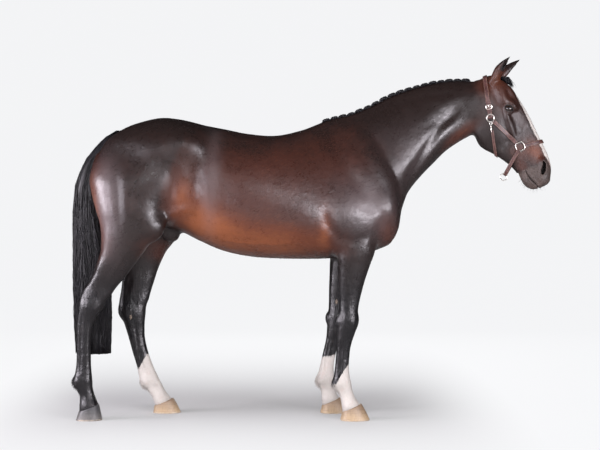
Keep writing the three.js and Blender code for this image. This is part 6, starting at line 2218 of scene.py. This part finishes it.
on, start = cheek(RIGHT, [(228, -108), (272, -126)])
p, q = meet_skin(on, unit(start - on)) + np.array([0, -6.5, 0])
way = unit(q - p)
snap = joined("snap_hook", [
    turned_bar((p * 0.62 + q * 0.38, q), [2.0, 4.2, 4.6, 3.4, 3.2, 3.2, 4.4, 4.6, 3.0]),
    wire_loop(p * 0.86 + q * 0.14, way, np.cross(way, [0, 1, 0]), 9, 6.5, 1.9),
    wire_loop(q + way * 5, way, np.array([0, 1.0, 0]), 6, 5, 1.5)], metal)
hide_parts("headcollar_snap")
for piece in (lead, snap):
    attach(piece, "root")
print("snap:", triangles(snap), "triangles, lead ring:", triangles(lead))


def band(centre, across, out, half_across, half_out, along, half_along, thick, count=44):
    """A flat closed loop of leather round a strap."""
    a = np.arange(count) * 2 * pi / count
    c, n = np.cos(a), np.sin(a)
    k = (np.abs(c) ** 5 + np.abs(n) ** 5) ** (-1 / 5)
    section = [(0, -1), (0, 1), (0.75, 1.0), (1, 0.8), (1, -0.8), (0.75, -1.0)]
    rings = [centre + (c * k * (half_across + thick * o))[:, None] * across
             + (n * k * (half_out + thick * o))[:, None] * out + along * half_along * w
             for o, w in section]
    return np.stack(rings, 1).reshape(-1, 3), ring_faces(count, len(section), loop=True)


# %% Buckle of the crown strap, with its two keepers
STRAP_WAY = np.array([-0.956, 0.295])            # up the crown strap from its ring, in s and u
STRAP_SIDE = np.array([0.295, 0.956])


def seat_on_strap(distance):
    """Middle of the crown strap's face above the right ring, with its along, across and out ways."""
    at = np.array([206, -99]) + STRAP_WAY * distance
    way = unit(on_cheek(RIGHT, *(at + STRAP_WAY * 16)) - on_cheek(RIGHT, *(at - STRAP_WAY * 16)))
    side = unit(on_cheek(RIGHT, *(at + STRAP_SIDE * 10)) - on_cheek(RIGHT, *(at - STRAP_SIDE * 10)))
    out = unit(np.cross(way, side))
    out = out * RIGHT * np.sign(out[1])             # outward on the right cheek
    return on_cheek(RIGHT, *at) + out * 5.5, way, unit(np.cross(out, way)), out


centre, way, side, out = seat_on_strap(62)
top = centre + out * 3.6
buckle = joined("crown_buckle", [
    wire_loop(top, way, side, 11.5, 16.5, 2.0, power=4.0),
    turned_bar((top - side * 16, top + side * 16), [1.6, 1.7, 1.7, 1.6]),
    turned_bar((top + out * 1.2, top + way * 13 + out * 1.6), [1.5, 1.5, 1.3, 1.0])], metal)
loops = []
for distance in (42, 88):
    centre, way, side, out = seat_on_strap(distance)
    loops.append(band(centre, side, out, 13.2, 3.4, way, 4.5, 1.8))
keepers = joined("crown_keepers", loops, leather)
for piece, kind in ((buckle, "headcollar_metal"), (keepers, "headcollar_leather")):
    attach(piece, "root")
print("headcollar: straps", len(STRAPS), "rings 5, snap 1")

# %% [markdown]
# ## Chestnuts
# On the inner side of each leg a horse has a small patch of grey horn. Each is a low, cracked
# lump that sits on the skin above the knee or below the hock.

# %% Chestnuts
CHESTNUTS = [   # side, x, z
    (RIGHT, 176, 668), (LEFT, 122, 655), (RIGHT, -1262, 566), (LEFT, -1024, 540)]
LUMP_RINGS, LUMP_SIDES = 13, 22
lumps = []
for side, x, z in CHESTNUTS:
    near = skin_p[(np.abs(skin_p[:, 0] - x) < 30) & (np.abs(skin_p[:, 2] - z) < 16)
                  & (skin_p[:, 1] * side > 0)]
    place = near[np.argmin(np.abs(near[:, 1]))]
    polar, around = np.meshgrid(np.linspace(0.12, pi - 0.12, LUMP_RINGS),
                                np.arange(LUMP_SIDES) * 2 * pi / LUMP_SIDES, indexing="ij")
    rough = 1 + 0.10 * np.sin(3 * around + 5 * polar) + 0.07 * np.sin(7 * around - 4 * polar)
    ball_x = 7.5 * rough * np.sin(polar) * np.cos(around)
    ball_y = 3.6 * rough * np.sin(polar) * np.sin(around)
    ball_z = 14.0 * np.cos(polar) * (1 + 0.06 * np.sin(5 * around))
    points = place + np.stack([ball_x, ball_y, ball_z], -1).reshape(-1, 3)
    lumps.append((points, ring_faces(LUMP_RINGS, LUMP_SIDES, down=True)))
callus = Finish("chestnut_horn", (0.10, 0.075, 0.055), 0.7)
crack = callus.noise(callus.scaled(callus.here(), (200, 200, 520)), 1.0, 4.0, 0.6)
callus.color(callus.mix(crack.step(0.35, 0.7), (0.035, 0.026, 0.020), (0.24, 0.19, 0.145)))
callus.rough((0.6 + crack * 0.3).clamp())
callus.bump(crack, 0.0012, 0.8)
chestnuts = mesh_object("chestnuts", *merged(lumps), callus)
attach(chestnuts, "root")
print("chestnuts:", len(CHESTNUTS))
